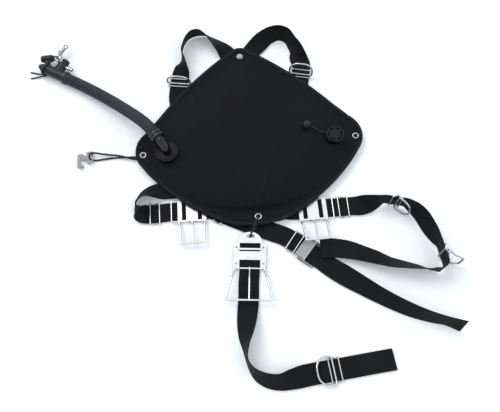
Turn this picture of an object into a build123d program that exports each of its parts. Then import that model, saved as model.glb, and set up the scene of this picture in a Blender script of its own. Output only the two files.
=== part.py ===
from build123d import *
import math
import os

# Diving buoyancy harness lying face up: wing, inflator hose, webbing, plates, rings and buckle.

# ---------------------------------------------------------------- driving dimensions (mm)
# Frame: +Z up from the floor, +Y towards the head end, +X to the right, X = 0 on the wing's axis.

# webbing and the layers that lie on each other on the floor
WEB_W = 50.0            # webbing width
WEB_T = 2.5             # webbing thickness
LAYER_GAP = 0.3         # air between pieces that lie on each other
LIP_T = 2.2             # thickness of what passes behind the webbing
PLATE_T = 2.5           # thickness of the rail plates and the hanger
SLOT_CLEAR = 2.0        # slot length beyond the webbing width

# wing (bag of the buoyancy bladder)
SEAM_Z = 17.0           # height of the flat edge seam
FABRIC_T = 1.2          # cover fabric
BAG_RISE = 33.0         # crown of the front cover above the seam
BAG_SINK = 5.5          # belly of the back cover below the seam
LINER_GAP = 0.8         # air between the covers and the inner bladder
BINDING_W = 9.0         # edge tape, folded round both covers
BINDING_GRIP = 6.0      # how far the covers reach into the tape
TOP_Y = 490.0           # tip of the wing
BOTTOM_Y = -47.0        # lowest point of the wing
HALF_SPAN = 302.0       # widest point from the axis
CROWN_Y = 200.0         # height on the axis that the crown is centred on

# grommets and top screw
GROMMET_R = 9.5
GROMMET_HOLE_R = 5.0
GROMMET_INSET = 28.0    # top and side grommets in from the outline
GROMMET_T = 1.0         # flange thickness on each face
SCREW_R = 3.0
SCREW_HEAD_R = 6.0
SCREW_HEAD_T = 2.5
PIN_FIT = 0.05          # radial clearance of a pin or screw in its hole

# elbow and hose
ELBOW_AT = (-217.0, 168.0)
FLANGE_R = 28.5
FLANGE_TOP = 45.0
FLANGE_RIM = 3.5
NUT_NOTCHES = 14
ELBOW_R = 12.0
ELBOW_BORE = 9.0
ELBOW_BEND = 22.0
ELBOW_HEADING = 122.0   # degrees from +X
ELBOW_REACH = 30.0      # flange centre to the hose end of the elbow
HOSE_R = 16.0
HOSE_Z = 70.0
CLAMP_W = 7.0
CLAMP_T = 1.8

# inflator
BARREL_R = 15.0
BARREL_L = 62.0
ARM_R = 12.0
ARM_L = 38.0
ARM_AT = 22.0
MOUTH_AT = 52.0
MOUTH_HEADING = 55.0
MOUTH_TUBE_R = 8.0
BUTTON_TRAVEL = 4.0
BUNGEE_R = 2.0

# dump valve
VALVE_AT = (222.0, 171.0)
VALVE_R = 23.0
VALVE_BASE_TOP = 37.0
VALVE_COVER_TOP = 50.0
POPPET_TRAVEL = 3.5

# hardware
WIRE_R = 2.3            # D-rings
BAR_R = 1.8             # slide bars
SIDE_R = 1.5            # side wires of the slides
SLIDE_PITCH = 24.0
RING_DEPTH = 40.0
RAIL_WIRE_R = 2.5
RAIL_DROP = 60.0        # how far the side rails hang below their plate

SLOT_W = WEB_W + SLOT_CLEAR
LOW = LIP_T + LAYER_GAP                         # underside of webbing that hardware wraps
PLATE_Z = LOW + WEB_T + LAYER_GAP               # underside of the plates on that webbing
HIGH = PLATE_Z + PLATE_T + LAYER_GAP            # underside of webbing that crosses a plate
HALF_T = WEB_T / 2
FRONT = HALF_T + LAYER_GAP                      # seat of hardware on the front of webbing
BACK = -HALF_T - LAYER_GAP                      # seat of hardware behind webbing

NODES = {}


def keep(name, shape):
    """Name one separate piece of the harness."""
    NODES[name] = shape
    return shape


# ---------------------------------------------------------------- shared helpers
def heading_vector(degrees):
    return Vector(math.cos(math.radians(degrees)), math.sin(math.radians(degrees)), 0)


def strap_height(roll, lift):
    """Height of the webbing's centre line when its lowest edge is at lift."""
    lean = abs(math.radians(roll))
    return lift + WEB_W / 2 * math.sin(lean) + HALF_T * math.cos(lean)


def full_station(station):
    """Fill in the lift of an (x, y, roll) or (x, y, roll, lift) station."""
    x, y, roll, *lift = station
    return (x, y, roll, lift[0] if lift else LOW)


ROLL_STEP = 8.0         # most twist between two sections of webbing


def slope(before, here, after, reach_in, reach_out):
    """Rate of change at a station, weighted towards its shorter side."""
    if min(reach_in, reach_out) == 0:
        return (after - before) / (reach_in + reach_out)
    rate_in = (here - before) / reach_in
    rate_out = (after - here) / reach_out
    return (rate_in * reach_out + rate_out * reach_in) / (reach_in + reach_out)


def smooth_stations(stations, spacing):
    """Cubic curve through the stations, sampled about every spacing along the plan."""
    known = [full_station(station) for station in stations]
    gaps = [math.dist(a[:2], b[:2]) for a, b in zip(known, known[1:])]
    padded = [known[0], *known, known[-1]]
    reaches = [0.0, *gaps, 0.0]
    slopes = [
        [slope(*values, reaches[i], reaches[i + 1]) for values in zip(*padded[i:i + 3])]
        for i in range(len(known))
    ]
    result = []
    for a, b, slope_a, slope_b, gap in zip(known, known[1:], slopes, slopes[1:], gaps):
        count = max(1, round(gap / spacing), math.ceil(abs(b[2] - a[2]) / ROLL_STEP))
        for t in (step / count for step in range(count)):
            x, y, roll, lift = (
                p * (1 + 2 * t) * (1 - t) ** 2 + q * t * t * (3 - 2 * t)
                + gap * (m * t * (1 - t) ** 2 - n * t * t * (1 - t))
                for p, q, m, n in zip(a, b, slope_a, slope_b)
            )
            result.append((x, y, roll, max(lift, LIP_T)))
    return result + [known[-1]]


def through(x, y, heading, half, roll=0.0, lift=LOW):
    """Four stations that keep the webbing straight and even through hardware of that half-length."""
    along = heading_vector(heading)
    return [
        (x + along.X * step, y + along.Y * step, roll, lift)
        for step in (-half - 4, -half, half, half + 4)
    ]


def webbing(stations, width=WEB_W, thickness=WEB_T, spacing=11.0):
    """Closed ribbon of webbing; roll 0 lies flat and roll 90 stands on its edge."""
    dense = smooth_stations(stations, spacing)
    centres = [Vector(x, y, strap_height(roll, lift)) for x, y, roll, lift in dense]
    sections = []
    for i, (_, _, roll, _) in enumerate(dense):
        along = (centres[min(i + 1, len(dense) - 1)] - centres[max(i - 1, 0)]).normalized()
        level = Vector(-along.Y, along.X, 0).normalized()
        across = level.rotate(Axis((0, 0, 0), along), roll)
        plane = Plane(origin=centres[i], x_dir=across, z_dir=along)
        sections.append(plane * Rectangle(width, thickness))
    return loft(sections, ruled=True)


def on_webbing(x, y, heading, roll=0.0, lift=LOW):
    """Local frame on webbing: X along it, Y across it, Z out of its front face."""
    along = heading_vector(heading)
    level = Vector(-along.Y, along.X, 0)
    across = level.rotate(Axis((0, 0, 0), along), roll)
    origin = Vector(x, y, strap_height(roll, lift))
    return Plane(origin=origin, x_dir=along, z_dir=along.cross(across))


def rod(start, end, radius):
    """Round bar between two points."""
    start, end = Vector(start), Vector(end)
    plane = Plane(origin=start, z_dir=end - start)
    return extrude(plane * Circle(radius), (end - start).length)


def bent_wire(points, radius, bend):
    """Open round wire through points, with every corner bent to one radius."""
    path = FilletPolyline(*points, radius=bend)
    return sweep(path.location_at(0) * Circle(radius), path)


def closed_wire(points, radius, bend):
    """Closed round wire through corner points, with every corner bent to one radius."""
    path = FilletPolyline(*points, radius=bend, close=True)
    return sweep(path.location_at(0) * Circle(radius), path)


def tube_radii(points):
    """Arc radius at each inner point of a cord's route."""
    corners = [Vector(point) for point in points]
    radii = []
    for before, here, after in zip(corners, corners[1:], corners[2:]):
        arriving, leaving = here - before, after - here
        turn = math.radians(arriving.get_angle(leaving))
        radii.append(0.45 * min(arriving.length, leaving.length) / math.tan(turn / 2))
    return radii


def cord(name, points, radius):
    """Plain tube along a cord's route; prints its bends and compares its volume."""
    radii = tube_radii(points)
    path = FilletPolyline(*points, radius=radii)
    tube = sweep(path.location_at(0) * Circle(radius), path)
    share = tube.volume / (math.pi * radius**2 * path.length)
    print(f"{name}: length {path.length:.0f}, volume share {share:.3f},",
          "radii", [round(value, 1) for value in radii])
    return tube


# ---------------------------------------------------------------- wing
def mirrored_outline(tip, tip_side, upper, side_top, side, side_low, lower, base_side, base):
    """Closed outline, symmetric about the axis, from the points of its right half."""
    left = [(-x, y) for x, y in (tip_side, upper, side_top, side, side_low, lower, base_side)]
    l_tip, l_upper, l_top, l_side, l_low, l_lower, l_base = left
    arcs = [
        ThreePointArc(l_tip, tip, tip_side),
        ThreePointArc(tip_side, upper, side_top),
        ThreePointArc(side_top, side, side_low),
        ThreePointArc(side_low, lower, base_side),
        ThreePointArc(base_side, base, l_base),
        ThreePointArc(l_base, l_lower, l_low),
        ThreePointArc(l_low, l_side, l_top),
        ThreePointArc(l_top, l_upper, l_tip),
    ]
    return make_face(Wire(arcs))


def wing_face():
    """Outline of the whole wing, with round corners about the grommets."""
    return mirrored_outline(
        (0, TOP_Y), (25, TOP_Y - 12), (140, TOP_Y - 104), (HALF_SPAN - 40, 247),
        (HALF_SPAN, 183), (HALF_SPAN - 14, 143), (190, 37), (62, BOTTOM_Y + 6), (0, BOTTOM_Y),
    )


def chamber_face():
    """Outline of the air chamber, which stops short of the grommet corners."""
    return mirrored_outline(
        (0, TOP_Y - 57), (22, TOP_Y - 66), (132, TOP_Y - 114), (HALF_SPAN - 59, 246),
        (HALF_SPAN - 40, 190), (HALF_SPAN - 50, 146), (182, 46), (72, BOTTOM_Y + 41),
        (0, BOTTOM_Y + 38),
    )


FRONT_CROWN = [(1.0, 0.0), (0.965, 0.24), (0.90, 0.46), (0.78, 0.68), (0.60, 0.85), (0.38, 0.95), (0.15, 1.0)]
BACK_BELLY = [(1.0, 0.0), (0.93, 0.75), (0.80, 1.0)]


def dome(profile, rise, inset=0.0):
    """Solid dome on the chamber outline; inset pulls its sides and crown in."""
    face = chamber_face()
    sections = []
    for share, height in profile:
        inner = share - inset / HALF_SPAN
        level = SEAM_Z + rise * height - math.copysign(inset, rise) * min(1.0, height * 8)
        moved = Pos(0, CROWN_Y, level) * scale(Pos(0, -CROWN_Y, 0) * face, by=inner)
        sections.append(moved)
    return loft(sections, ruled=True)


def post(centre, radius, bottom, top):
    """Upright cylinder between two heights."""
    return Pos(centre[0], centre[1], bottom) * extrude(Circle(radius), top - bottom)


GROMMETS = {
    "top": (0.0, TOP_Y - GROMMET_INSET - 2),
    "left": (-HALF_SPAN + 20, 177.0),
    "right": (HALF_SPAN - 20, 177.0),
    "bottom": (0.0, BOTTOM_Y + 22),
}


def grommet_holes():
    barrel = GROMMET_HOLE_R + 1.0
    return Sketch() + [Pos(x, y) * Circle(barrel) for x, y in GROMMETS.values()]


def cover(sign, profile, rise):
    """Front (sign +1) or back (sign -1) cover: flat seam allowance and a hollow dome."""
    reach = offset(wing_face(), amount=-(BINDING_W - BINDING_GRIP))
    flat = extrude(Pos(0, 0, SEAM_Z) * (reach - grommet_holes()), sign * FABRIC_T)
    return flat + dome(profile, rise) - dome(profile, rise, FABRIC_T)


# fittings through the front cover: centre, neck radius, head radius, underside of the head
FITTINGS = [
    (ELBOW_AT, FLANGE_R - FLANGE_RIM, FLANGE_R, FLANGE_TOP - 15),
    (VALVE_AT, VALVE_R - 4, VALVE_R, VALVE_BASE_TOP),
]


def build_wing():
    front = cover(1, FRONT_CROWN, BAG_RISE)
    back = cover(-1, BACK_BELLY, -BAG_SINK)
    inset = FABRIC_T + LINER_GAP
    liner = dome(FRONT_CROWN, BAG_RISE, inset) + dome(BACK_BELLY, -BAG_SINK, inset)
    for centre, neck, head, step in FITTINGS:
        for radius, bottom in ((neck, SEAM_Z + 6), (head, step)):
            hole = post(centre, radius + LAYER_GAP, bottom - LAYER_GAP, FLANGE_TOP + 10)
            front -= hole
            liner -= hole
    keep("front_panel", front)
    keep("back_panel", back)
    keep("inner_bladder", liner)
    outside, inside = wing_face(), offset(wing_face(), amount=-BINDING_W)
    groove = offset(wing_face(), amount=-(BINDING_W - BINDING_GRIP))
    tape_t = 2 * FABRIC_T
    tape = extrude(Pos(0, 0, SEAM_Z - tape_t) * (outside - inside), 2 * tape_t)
    tape -= extrude(Pos(0, 0, SEAM_Z - FABRIC_T) * groove, 2 * FABRIC_T)
    keep("edge_binding", tape)


def build_grommets():
    rings = []
    for x, y in GROMMETS.values():
        barrel_r = GROMMET_HOLE_R + 1.0
        ring = post((x, y), barrel_r, SEAM_Z - FABRIC_T - GROMMET_T, SEAM_Z + FABRIC_T + GROMMET_T)
        for bottom in (SEAM_Z - FABRIC_T - GROMMET_T, SEAM_Z + FABRIC_T):
            ring += post((x, y), GROMMET_R, bottom, bottom + GROMMET_T)
        rings.append(ring - post((x, y), GROMMET_HOLE_R, 0, FLANGE_TOP))
    keep("corner_grommets", Compound(children=rings))


# ---------------------------------------------------------------- elbow, hose and inflator
FLANGE_BOTTOM = SEAM_Z + 6
NUT_R = FLANGE_R - FLANGE_RIM - 0.5
NUT_BOTTOM = FLANGE_TOP - 9
COLLAR_T = 3.0

ELBOW_OUT = heading_vector(ELBOW_HEADING)
ELBOW_CORNER = Vector(*ELBOW_AT, HOSE_Z)
HOSE_ROUTE = [
    tuple(ELBOW_CORNER + ELBOW_OUT * ELBOW_REACH), tuple(ELBOW_CORNER + ELBOW_OUT * (ELBOW_REACH + 34)),
    (-275, 255, 62), (-315, 298, 47), (-359, 341, 33),
    (-403, 379, 24), (-448, 413, 19), (-493, 442, 19),
]


def build_elbow():
    collar_r = NUT_R - 4
    flange = post(ELBOW_AT, FLANGE_R, NUT_BOTTOM - 6, FLANGE_TOP)
    flange += post(ELBOW_AT, FLANGE_R - FLANGE_RIM, FLANGE_BOTTOM, NUT_BOTTOM - 6)
    flange -= post(ELBOW_AT, FLANGE_R - FLANGE_RIM, NUT_BOTTOM, FLANGE_TOP)
    flange -= post(ELBOW_AT, collar_r + LAYER_GAP, NUT_BOTTOM - COLLAR_T, NUT_BOTTOM)
    flange -= post(ELBOW_AT, ELBOW_BORE, FLANGE_BOTTOM, NUT_BOTTOM)
    keep("elbow_flange", flange)
    nut = post(ELBOW_AT, NUT_R, NUT_BOTTOM, FLANGE_TOP + 1)
    nut -= post(ELBOW_AT, ELBOW_R + LAYER_GAP, NUT_BOTTOM, FLANGE_TOP + 1)
    for notch in PolarLocations(NUT_R, NUT_NOTCHES):
        nut -= Pos(*ELBOW_AT, NUT_BOTTOM + 3) * notch * extrude(Circle(2.2), FLANGE_TOP)
    keep("flange_ring_nut", nut)
    foot = Vector(*ELBOW_AT, NUT_BOTTOM - COLLAR_T)
    path = FilletPolyline(foot, ELBOW_CORNER, HOSE_ROUTE[0], radius=ELBOW_BEND)
    ring = Circle(ELBOW_R) - Circle(ELBOW_BORE)
    elbow = sweep(path.location_at(0) * ring, path)
    elbow += post(ELBOW_AT, collar_r, NUT_BOTTOM - COLLAR_T, NUT_BOTTOM) - post(
        ELBOW_AT, ELBOW_BORE, NUT_BOTTOM - COLLAR_T, NUT_BOTTOM)
    keep("elbow", elbow)


def band_at(start, end, distance, radius, width, thickness):
    """Ring round a straight run, a distance along it."""
    along = (Vector(end) - Vector(start)).normalized()
    plane = Plane(origin=Vector(start) + along * distance, z_dir=along)
    inner = radius + LAYER_GAP / 2
    return extrude(plane * (Circle(inner + thickness) - Circle(inner)), width)


def build_hose():
    keep("corrugated_hose", cord("corrugated_hose", HOSE_ROUTE, HOSE_R))
    near = [band_at(HOSE_ROUTE[0], HOSE_ROUTE[1], d, HOSE_R, CLAMP_W, CLAMP_T) for d in (1, 11)]
    far = band_at(HOSE_ROUTE[-1], HOSE_ROUTE[-2], 4, HOSE_R, CLAMP_W, CLAMP_T)
    keep("hose_clamps", Compound(children=near + [far]))


INFLATOR_HEADING = math.degrees(math.atan2(
    HOSE_ROUTE[-1][1] - HOSE_ROUTE[-2][1], HOSE_ROUTE[-1][0] - HOSE_ROUTE[-2][0]))
# local frame: X along the barrel away from the hose, Y to the button side, Z down
INFLATOR = Plane(origin=HOSE_ROUTE[-1], x_dir=heading_vector(INFLATOR_HEADING), z_dir=(0, 0, -1))
MOUTH_DIR = heading_vector(MOUTH_HEADING)
MOUTH_END = 30.0
LOOP_SIDE = 44.0        # bungee loop beyond the barrel axis, on the button side
LOOP_HEIGHT = 17.5


def build_inflator():
    body = rod((0, 0, 0), (BARREL_L, 0, 0), BARREL_R)
    body += rod((BARREL_L, 0, 0), (BARREL_L + 10, 0, 0), 10)
    body += rod((ARM_AT, 0, 0), (ARM_AT, ARM_L, 0), ARM_R)
    mouth_foot = Vector(MOUTH_AT, 0, 0)
    body += rod(mouth_foot, mouth_foot + MOUTH_DIR * (MOUTH_END - LAYER_GAP), MOUTH_TUBE_R)
    body -= rod((ARM_AT, ARM_L - 5, 0), (ARM_AT, ARM_L, 0), 7.3)
    body -= rod((BARREL_L + 4, 0, 0), (BARREL_L + 10, 0, 0), 6.3)
    body -= rod((ARM_AT - ARM_R + 4, 29, 0), (0, 29, 0), 4 + PIN_FIT)
    keep("inflator_body", INFLATOR * body)
    cap = rod((ARM_AT, ARM_L + BUTTON_TRAVEL + 0.5, 0), (ARM_AT, ARM_L + BUTTON_TRAVEL + 6, 0), 11)
    for tooth in range(18):
        angle = math.radians(tooth * 20)
        x, z = ARM_AT + 11.4 * math.cos(angle), 11.4 * math.sin(angle)
        cap -= rod((x, ARM_L, z), (x, ARM_L + BUTTON_TRAVEL + 7, z), 1.0)
    cap += rod((ARM_AT, ARM_L - 0.6, 0), (ARM_AT, ARM_L + BUTTON_TRAVEL + 1, 0), 7)
    keep("inflate_button", INFLATOR * cap)
    start = BARREL_L + 8.5
    deflate = rod((start, 0, 0), (BARREL_L + 17, 0, 0), 6)
    keep("deflate_button", INFLATOR * deflate)
    nipple_start = ARM_AT - ARM_R + 4
    nipple = rod((nipple_start, 29, 0), (2, 29, 0), 4) + rod((2, 29, 0), (-2, 29, 0), 5)
    nipple += rod((-2, 29, 0), (-6, 29, 0), 3.6) + rod((-6, 29, 0), (-9, 29, 0), 4.8)
    keep("inlet_nipple", INFLATOR * nipple)
    base = mouth_foot + MOUTH_DIR * MOUTH_END
    plane = Plane(origin=base, x_dir=(0, 0, 1), z_dir=MOUTH_DIR)
    piece = extrude(plane * SlotOverall(22, 20), 2)
    piece += extrude(plane.offset(2) * Rot(0, 0, 90) * SlotOverall(38, 20), 10)
    piece -= extrude(plane.offset(4) * Rot(0, 0, 90) * SlotOverall(30, 12), 10)
    keep("mouthpiece", INFLATOR * piece)


def build_inflator_bungee():
    side, low = LOOP_SIDE, LOOP_HEIGHT
    corners = [(58, -low, low), (47, side, low), (47, side, -low), (58, -low, -low)]
    keep("inflator_bungee", INFLATOR * closed_wire(corners, BUNGEE_R, 12))


# ---------------------------------------------------------------- dump valve
def build_valve():
    base_r = VALVE_R - 4
    base = post(VALVE_AT, base_r, SEAM_Z + 6, VALVE_BASE_TOP)
    base += post(VALVE_AT, VALVE_R, VALVE_BASE_TOP, VALVE_BASE_TOP + 2)
    base -= post(VALVE_AT, 12, SEAM_Z + 6, VALVE_BASE_TOP + 2)
    base -= post(VALVE_AT, base_r - 3, SEAM_Z + 12, VALVE_BASE_TOP)
    keep("dump_valve_base", base)
    seat_top = VALVE_BASE_TOP + 2
    cap = post(VALVE_AT, VALVE_R, seat_top, VALVE_COVER_TOP)
    cap = fillet(cap.faces().sort_by(Axis.Z)[-1].edges(), 3)
    cap -= post(VALVE_AT, VALVE_R - 3, seat_top, VALVE_COVER_TOP - 3)
    vents = Sketch()
    for turn in range(6):
        vents += Rot(0, 0, 60 * turn) * Pos(16.5, 0) * Rot(0, 0, 90) * SlotOverall(13, 3.6)
    cap -= Pos(*VALVE_AT, VALVE_COVER_TOP - 4) * extrude(vents, 8)
    keep("dump_valve_cover", cap)
    disc = post(VALVE_AT, 15, seat_top + LAYER_GAP, seat_top + 2)
    disc += post(VALVE_AT, 3, SEAM_Z + 20, seat_top + 1)
    keep("dump_poppet", disc)
    wire_r = 0.8
    disc_top = seat_top + 2
    spring_h = VALVE_COVER_TOP - 3 - disc_top - 2 * wire_r - 2 * LAYER_GAP
    coil = Helix(pitch=spring_h / 2, height=spring_h, radius=9)
    wire = sweep(Plane(origin=coil @ 0, z_dir=coil % 0) * Circle(wire_r), coil)
    keep("dump_spring", Pos(*VALVE_AT, disc_top + wire_r + LAYER_GAP) * wire)


PULL_EXIT = (VALVE_AT[0] - VALVE_R + 0.5, VALVE_AT[1] + 8, 44)
PULL_ROUTE = [PULL_EXIT, (188, 184, 45.5), (175, 191, 49.5), (160, 198, 53)]


def build_pull():
    keep("dump_pull_cord", cord("dump_pull_cord", PULL_ROUTE, 1.5))
    centre = Vector(PULL_ROUTE[-1])
    along = (centre - Vector(PULL_ROUTE[-2])).normalized()
    knob = Pos(centre + along * 10.9) * Sphere(11)
    knob -= rod(centre - along * 4, centre, 3.0)
    keep("dump_pull_knob", knob)


# ---------------------------------------------------------------- corner bungees and their hook
LEFT_BUNGEE_ROUTE = [
    (-290.5, 172, 3), (-308, 174, 4), (-328, 179.5, 9.5), (-348, 187, 9), (-372, 193, 6),
    (-396, 198, 7), (-412, 200.5, 12.5), (-424, 198.5, 12), (-425.5, 187, 2.9), (-413, 181.5, 2.6),
    (-392, 183, 2.7), (-364, 184.5, 2.7), (-336, 183.5, 2.7), (-310, 181, 2.7), (-290.5, 182, 2.7),
]
BOTTOM_BUNGEE_ROUTE = [
    (-0.5, -27, 21.6), (-7, -38, 23), (-14, -52, 22), (-21, -64, 18), (-26, -74, 14),
    (-26.8, -75.5, 7.3), (-19, -67, 7.3), (-11, -54, 7.6), (-4, -40, 8.6), (1, -26, 10.5),
]


def build_corner_bungees():
    keep("left_bungee", cord("left_bungee", LEFT_BUNGEE_ROUTE, 2.5))
    keep("bottom_bungee", cord("bottom_bungee", BOTTOM_BUNGEE_ROUTE, BUNGEE_R))
    x, y = GROMMETS["left"]
    knot = Pos(x - 1.8, y, 6) * fillet(Box(12, 22, 12).edges(), 3)
    knot += post((x, y), GROMMET_HOLE_R - LAYER_GAP, 8, SEAM_Z + 1)
    keep("bungee_knot", knot)


def build_left_hook():
    """Flat bent-end hook with a slotted tail for the bungee."""
    plate_z = 5.8
    frame = Pos(-423.5, 190) * (RectangleRounded(17, 34, 3) - RectangleRounded(9.5, 24, 2))
    shank = Pos(-438, 190) * Rectangle(14, 12)
    claw = Pos(-448, 182) * (RectangleRounded(16, 40, 4) - Pos(4, -2) * RectangleRounded(9.5, 20, 3))
    claw -= Pos(-440, 174) * Rectangle(8, 8)
    keep("left_hook", Pos(0, 0, plate_z) * extrude(frame + shank + claw, 2.5))


# ---------------------------------------------------------------- hardware shapes, in webbing frames
SIDE_Y = SLOT_W / 2 + SIDE_R            # side wires of a slide
RING_HALF = SIDE_Y + SIDE_R + LAYER_GAP + WIRE_R    # arms of a D-ring pass outside the slide
RING_BAR_X = 3.0                        # D-ring bar off the slide's middle bar
RING_BAR_Z = FRONT + WIRE_R


def triglide(pitch=SLIDE_PITCH):
    """Slide: two bars on the front of the webbing and one flat bar behind it."""
    front_z = FRONT + BAR_R
    back_z = BACK - LIP_T / 2
    shape = Pos(0, 0, back_z) * Box(5, 2 * (SIDE_Y + SIDE_R), LIP_T)
    for x in (-pitch / 2, pitch / 2):
        shape += rod((x, -SIDE_Y - SIDE_R, front_z), (x, SIDE_Y + SIDE_R, front_z), BAR_R)
        for y in (-SIDE_Y, SIDE_Y):
            shape += rod((x, y, front_z), (0, y, back_z), SIDE_R - 0.4)
    return shape


def leaning_ring(points, bends, lean):
    """Ring of round wire whose bar lies across the webbing and whose bow leans off it."""
    ring = closed_wire(points, WIRE_R, bends)
    return Pos(RING_BAR_X, 0, RING_BAR_Z) * Rot(0, -lean, 0) * ring


def d_ring(lean=18.0, kick=0.0):
    """D-ring; kick is how far its bow is bent out of the plane of its bar."""
    shoulder = RING_DEPTH * 0.5
    if kick == 0:
        points = [(0, -RING_HALF, 0), (RING_DEPTH, -RING_HALF, 0), (RING_DEPTH, RING_HALF, 0),
                  (0, RING_HALF, 0)]
        return leaning_ring(points, [6, 26, 26, 6], lean)
    points = [(0, -RING_HALF, 0), (shoulder, -RING_HALF, 0), (RING_DEPTH, -RING_HALF * 0.6, kick),
              (RING_DEPTH, RING_HALF * 0.6, kick), (shoulder, RING_HALF, 0), (0, RING_HALF, 0)]
    return leaning_ring(points, 6, lean)


def rail_plate(side, rise):
    """Slotted plate with a wire rail below it; side +1 has its gate wire on the right."""
    low, high = -SLOT_W / 2 - 4, SLOT_W / 2 + 3.5
    blank = Pos(9 * -side, (low + high) / 2) * RectangleRounded(72, high - low, 4)
    for centre, width in ((-29 * side, 11), (11 * side, 11)):
        blank -= Pos(centre, 0) * Rectangle(width, SLOT_W)
    plate = Pos(0, 0, FRONT) * extrude(blank, PLATE_T)
    gate_x, inner_x = 43 * side, 20 * side
    gate_z = FRONT + RAIL_WIRE_R * 0.7
    gate = [(inner_x, high - 2, gate_z), (gate_x, high - 2, gate_z),
            (gate_x, low + 2, gate_z), (inner_x, low + 2, gate_z)]
    plate += bent_wire(gate, RAIL_WIRE_R * 0.7, 4)
    for centre in (-9 * side,):
        for edge in (low + 1.7, high - 1.7):
            wall_h = FRONT - BACK + LIP_T
            plate += Pos(centre, edge, FRONT - wall_h / 2) * Box(22, 3.2, wall_h)
        plate += Pos(centre, (low + high) / 2, BACK - LIP_T / 2) * Box(8, high - low, LIP_T)
    wire_z = FRONT + RAIL_WIRE_R
    far, bend = low - RAIL_DROP, low - 12
    left, right = -9 * side - 33, -9 * side + 33
    top = (low + 2, wire_z)
    rail = [(left, *top), (left, low - 4, wire_z), (left + 2, bend, wire_z + 0.35 * rise),
            (left + 4, far, wire_z + rise), (right - 4, far, wire_z + rise),
            (right - 2, bend, wire_z + 0.35 * rise), (right, low - 4, wire_z), (right, *top)]
    plate += bent_wire(rail, RAIL_WIRE_R, 3.5)
    middle = -9 * side
    stem = [(middle, *top), (middle, low - 4, wire_z), (middle, bend, wire_z + 0.35 * rise),
            (middle, far, wire_z + rise)]
    plate += bent_wire(stem, RAIL_WIRE_R * 0.8, 3)
    return plate


# ---------------------------------------------------------------- webbing routes
# seats of the hardware on the webbing: x, y, heading, then roll and lift where it stands on edge
EDGE_LIFT = 9.5         # on-edge webbing is held up by the wider rings round it
PLACES = {
    "left_shoulder": (-175, 398, -100),
    "right_shoulder": (165, 394, -104),
    "left_waist": (-260, 14, -1),
    "left_rail": (-175, 13, -2),
    "left_hidden": (-92, -2, -28),
    "right_rail": (149, -15, -1),
    "right_waist": (219, -16.2, -1),
    "waist_ring_a": (346, -25, -16, 90, EDGE_LIFT),
    "waist_ring_b": (434, -170, -84, 90, EDGE_LIFT),
    "keeper": (84, -98, -39),
    "buckle": (121, -131, -42),
    "crotch_plate": (-31.5, -122, -97),
    "crotch_ring": (135, -414, 4),
}


def run(name, half=15.0):
    """Straight webbing stations through the hardware of that name."""
    x, y, heading, *stance = PLACES[name]
    roll, lift = stance or (0.0, LOW)
    return through(x, y, heading, half, roll, lift)


LEFT_SHOULDER = [
    (-24, 468, 0), (-34, 484, 0), (-50, 502, 25), (-68, 520, 45), (-87, 538, 60), (-109, 548, 72),
    (-131, 544, 76), (-148, 526, 78), (-158, 499, 82), (-161, 472, 88), (-163, 450, 56),
    (-167, 431, 16), *run("left_shoulder"), (-182, 346, 0), (-172, 300, 0), (-142, 230, 0),
    (-104, 160, 0), (-60, 80, 0),
]
RIGHT_SHOULDER = [
    (24, 468, 0), (34, 483, 0), (53, 497, 20), (75, 511, 45), (97, 521, 60), (119, 523, 70),
    (138, 513, 72), (150, 487, 70), (160, 462, 54), (165, 441, 22), (171, 426, 5), *run("right_shoulder"),
    (148, 325, 0), (122, 240, 0), (92, 155, 0), (60, 80, 0),
]
SPINE = [(0, 425, 0), (0, 300, 0), (0, 150, 0), (0, 20, 0)]
LEFT_BELT = [
    (-6, 24, 0, HIGH), (-60, 50, 0, HIGH), (-120, 65, 0, HIGH), (-180, 72, 0, HIGH),
    (-215, 74, 0, 6.5), (-243, 74, 8), (-268, 68, 30), (-290, 57, 58), (-302, 43, 74),
    (-306, 30, 78), (-303, 20, 72), (-293, 14.8, 42), *run("left_waist", 14.5), *run("left_rail", 48),
    *run("left_hidden", 13), (-40, -30, 0), (-11, -45, 0), (24, -62, 0), *run("keeper", 16)[:3],
    *run("buckle", 23)[1:], (157, -165, 0), (187, -193, 20), (223, -224, 42),
    (261, -254, 55), (300, -281, 62), (339, -304, 68), (377, -322, 75), (412, -335, 80),
    (445, -350, 72),
]
RIGHT_BELT = [
    (6, 22, 0, HIGH), (32, 4, 0, HIGH), (64, -9.5, 0, 5.5), *run("right_rail", 48)[:2],
    *run("right_waist", 17)[2:], (262, -20, 18), (282, -21, 46, 4), (303, -20, 72, 7),
    *run("waist_ring_a", 19), (386, -44, 78, 7), (404, -66, 66, 4), (417, -100, 64, 4),
    (426, -128, 76, 7), *run("waist_ring_b", 19), (434, -203, 90, EDGE_LIFT), (423, -211, 88, 8),
    (404, -208, 78), (380, -200, 66), (340, -188, 54), (306, -177, 44), (273, -160, 30),
    (245, -147, 22, 3), (212, -134, 8, 8), (178, -126, 0, 11.5), (143, -122, 0, 11.5),
]
CROTCH = [
    *run("crotch_plate", 34), (-40, -182, 0), (-46, -231, 0), (-54, -275, 18), (-60, -312, 44),
    (-64, -347, 74), (-64, -374, 86), (-56, -395, 80), (-41, -412, 66), (-20, -424, 56), (5, -429, 48),
    (34, -425, 30), (64, -420, 8), (88, -417.3, 0), *run("crotch_ring", 25), (217, -408, 0),
    (276, -404, 0),
]
SEATS = {name: on_webbing(*place) for name, place in PLACES.items()}


def build_webbing():
    keep("left_shoulder_strap", webbing(LEFT_SHOULDER))
    keep("right_shoulder_strap", webbing(RIGHT_SHOULDER))
    keep("spine_strap", webbing(SPINE, spacing=TOP_Y))
    keep("left_waist_belt", webbing(LEFT_BELT, spacing=7.0))
    keep("right_waist_belt", webbing(RIGHT_BELT))
    keep("crotch_strap", webbing(CROTCH))


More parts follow.
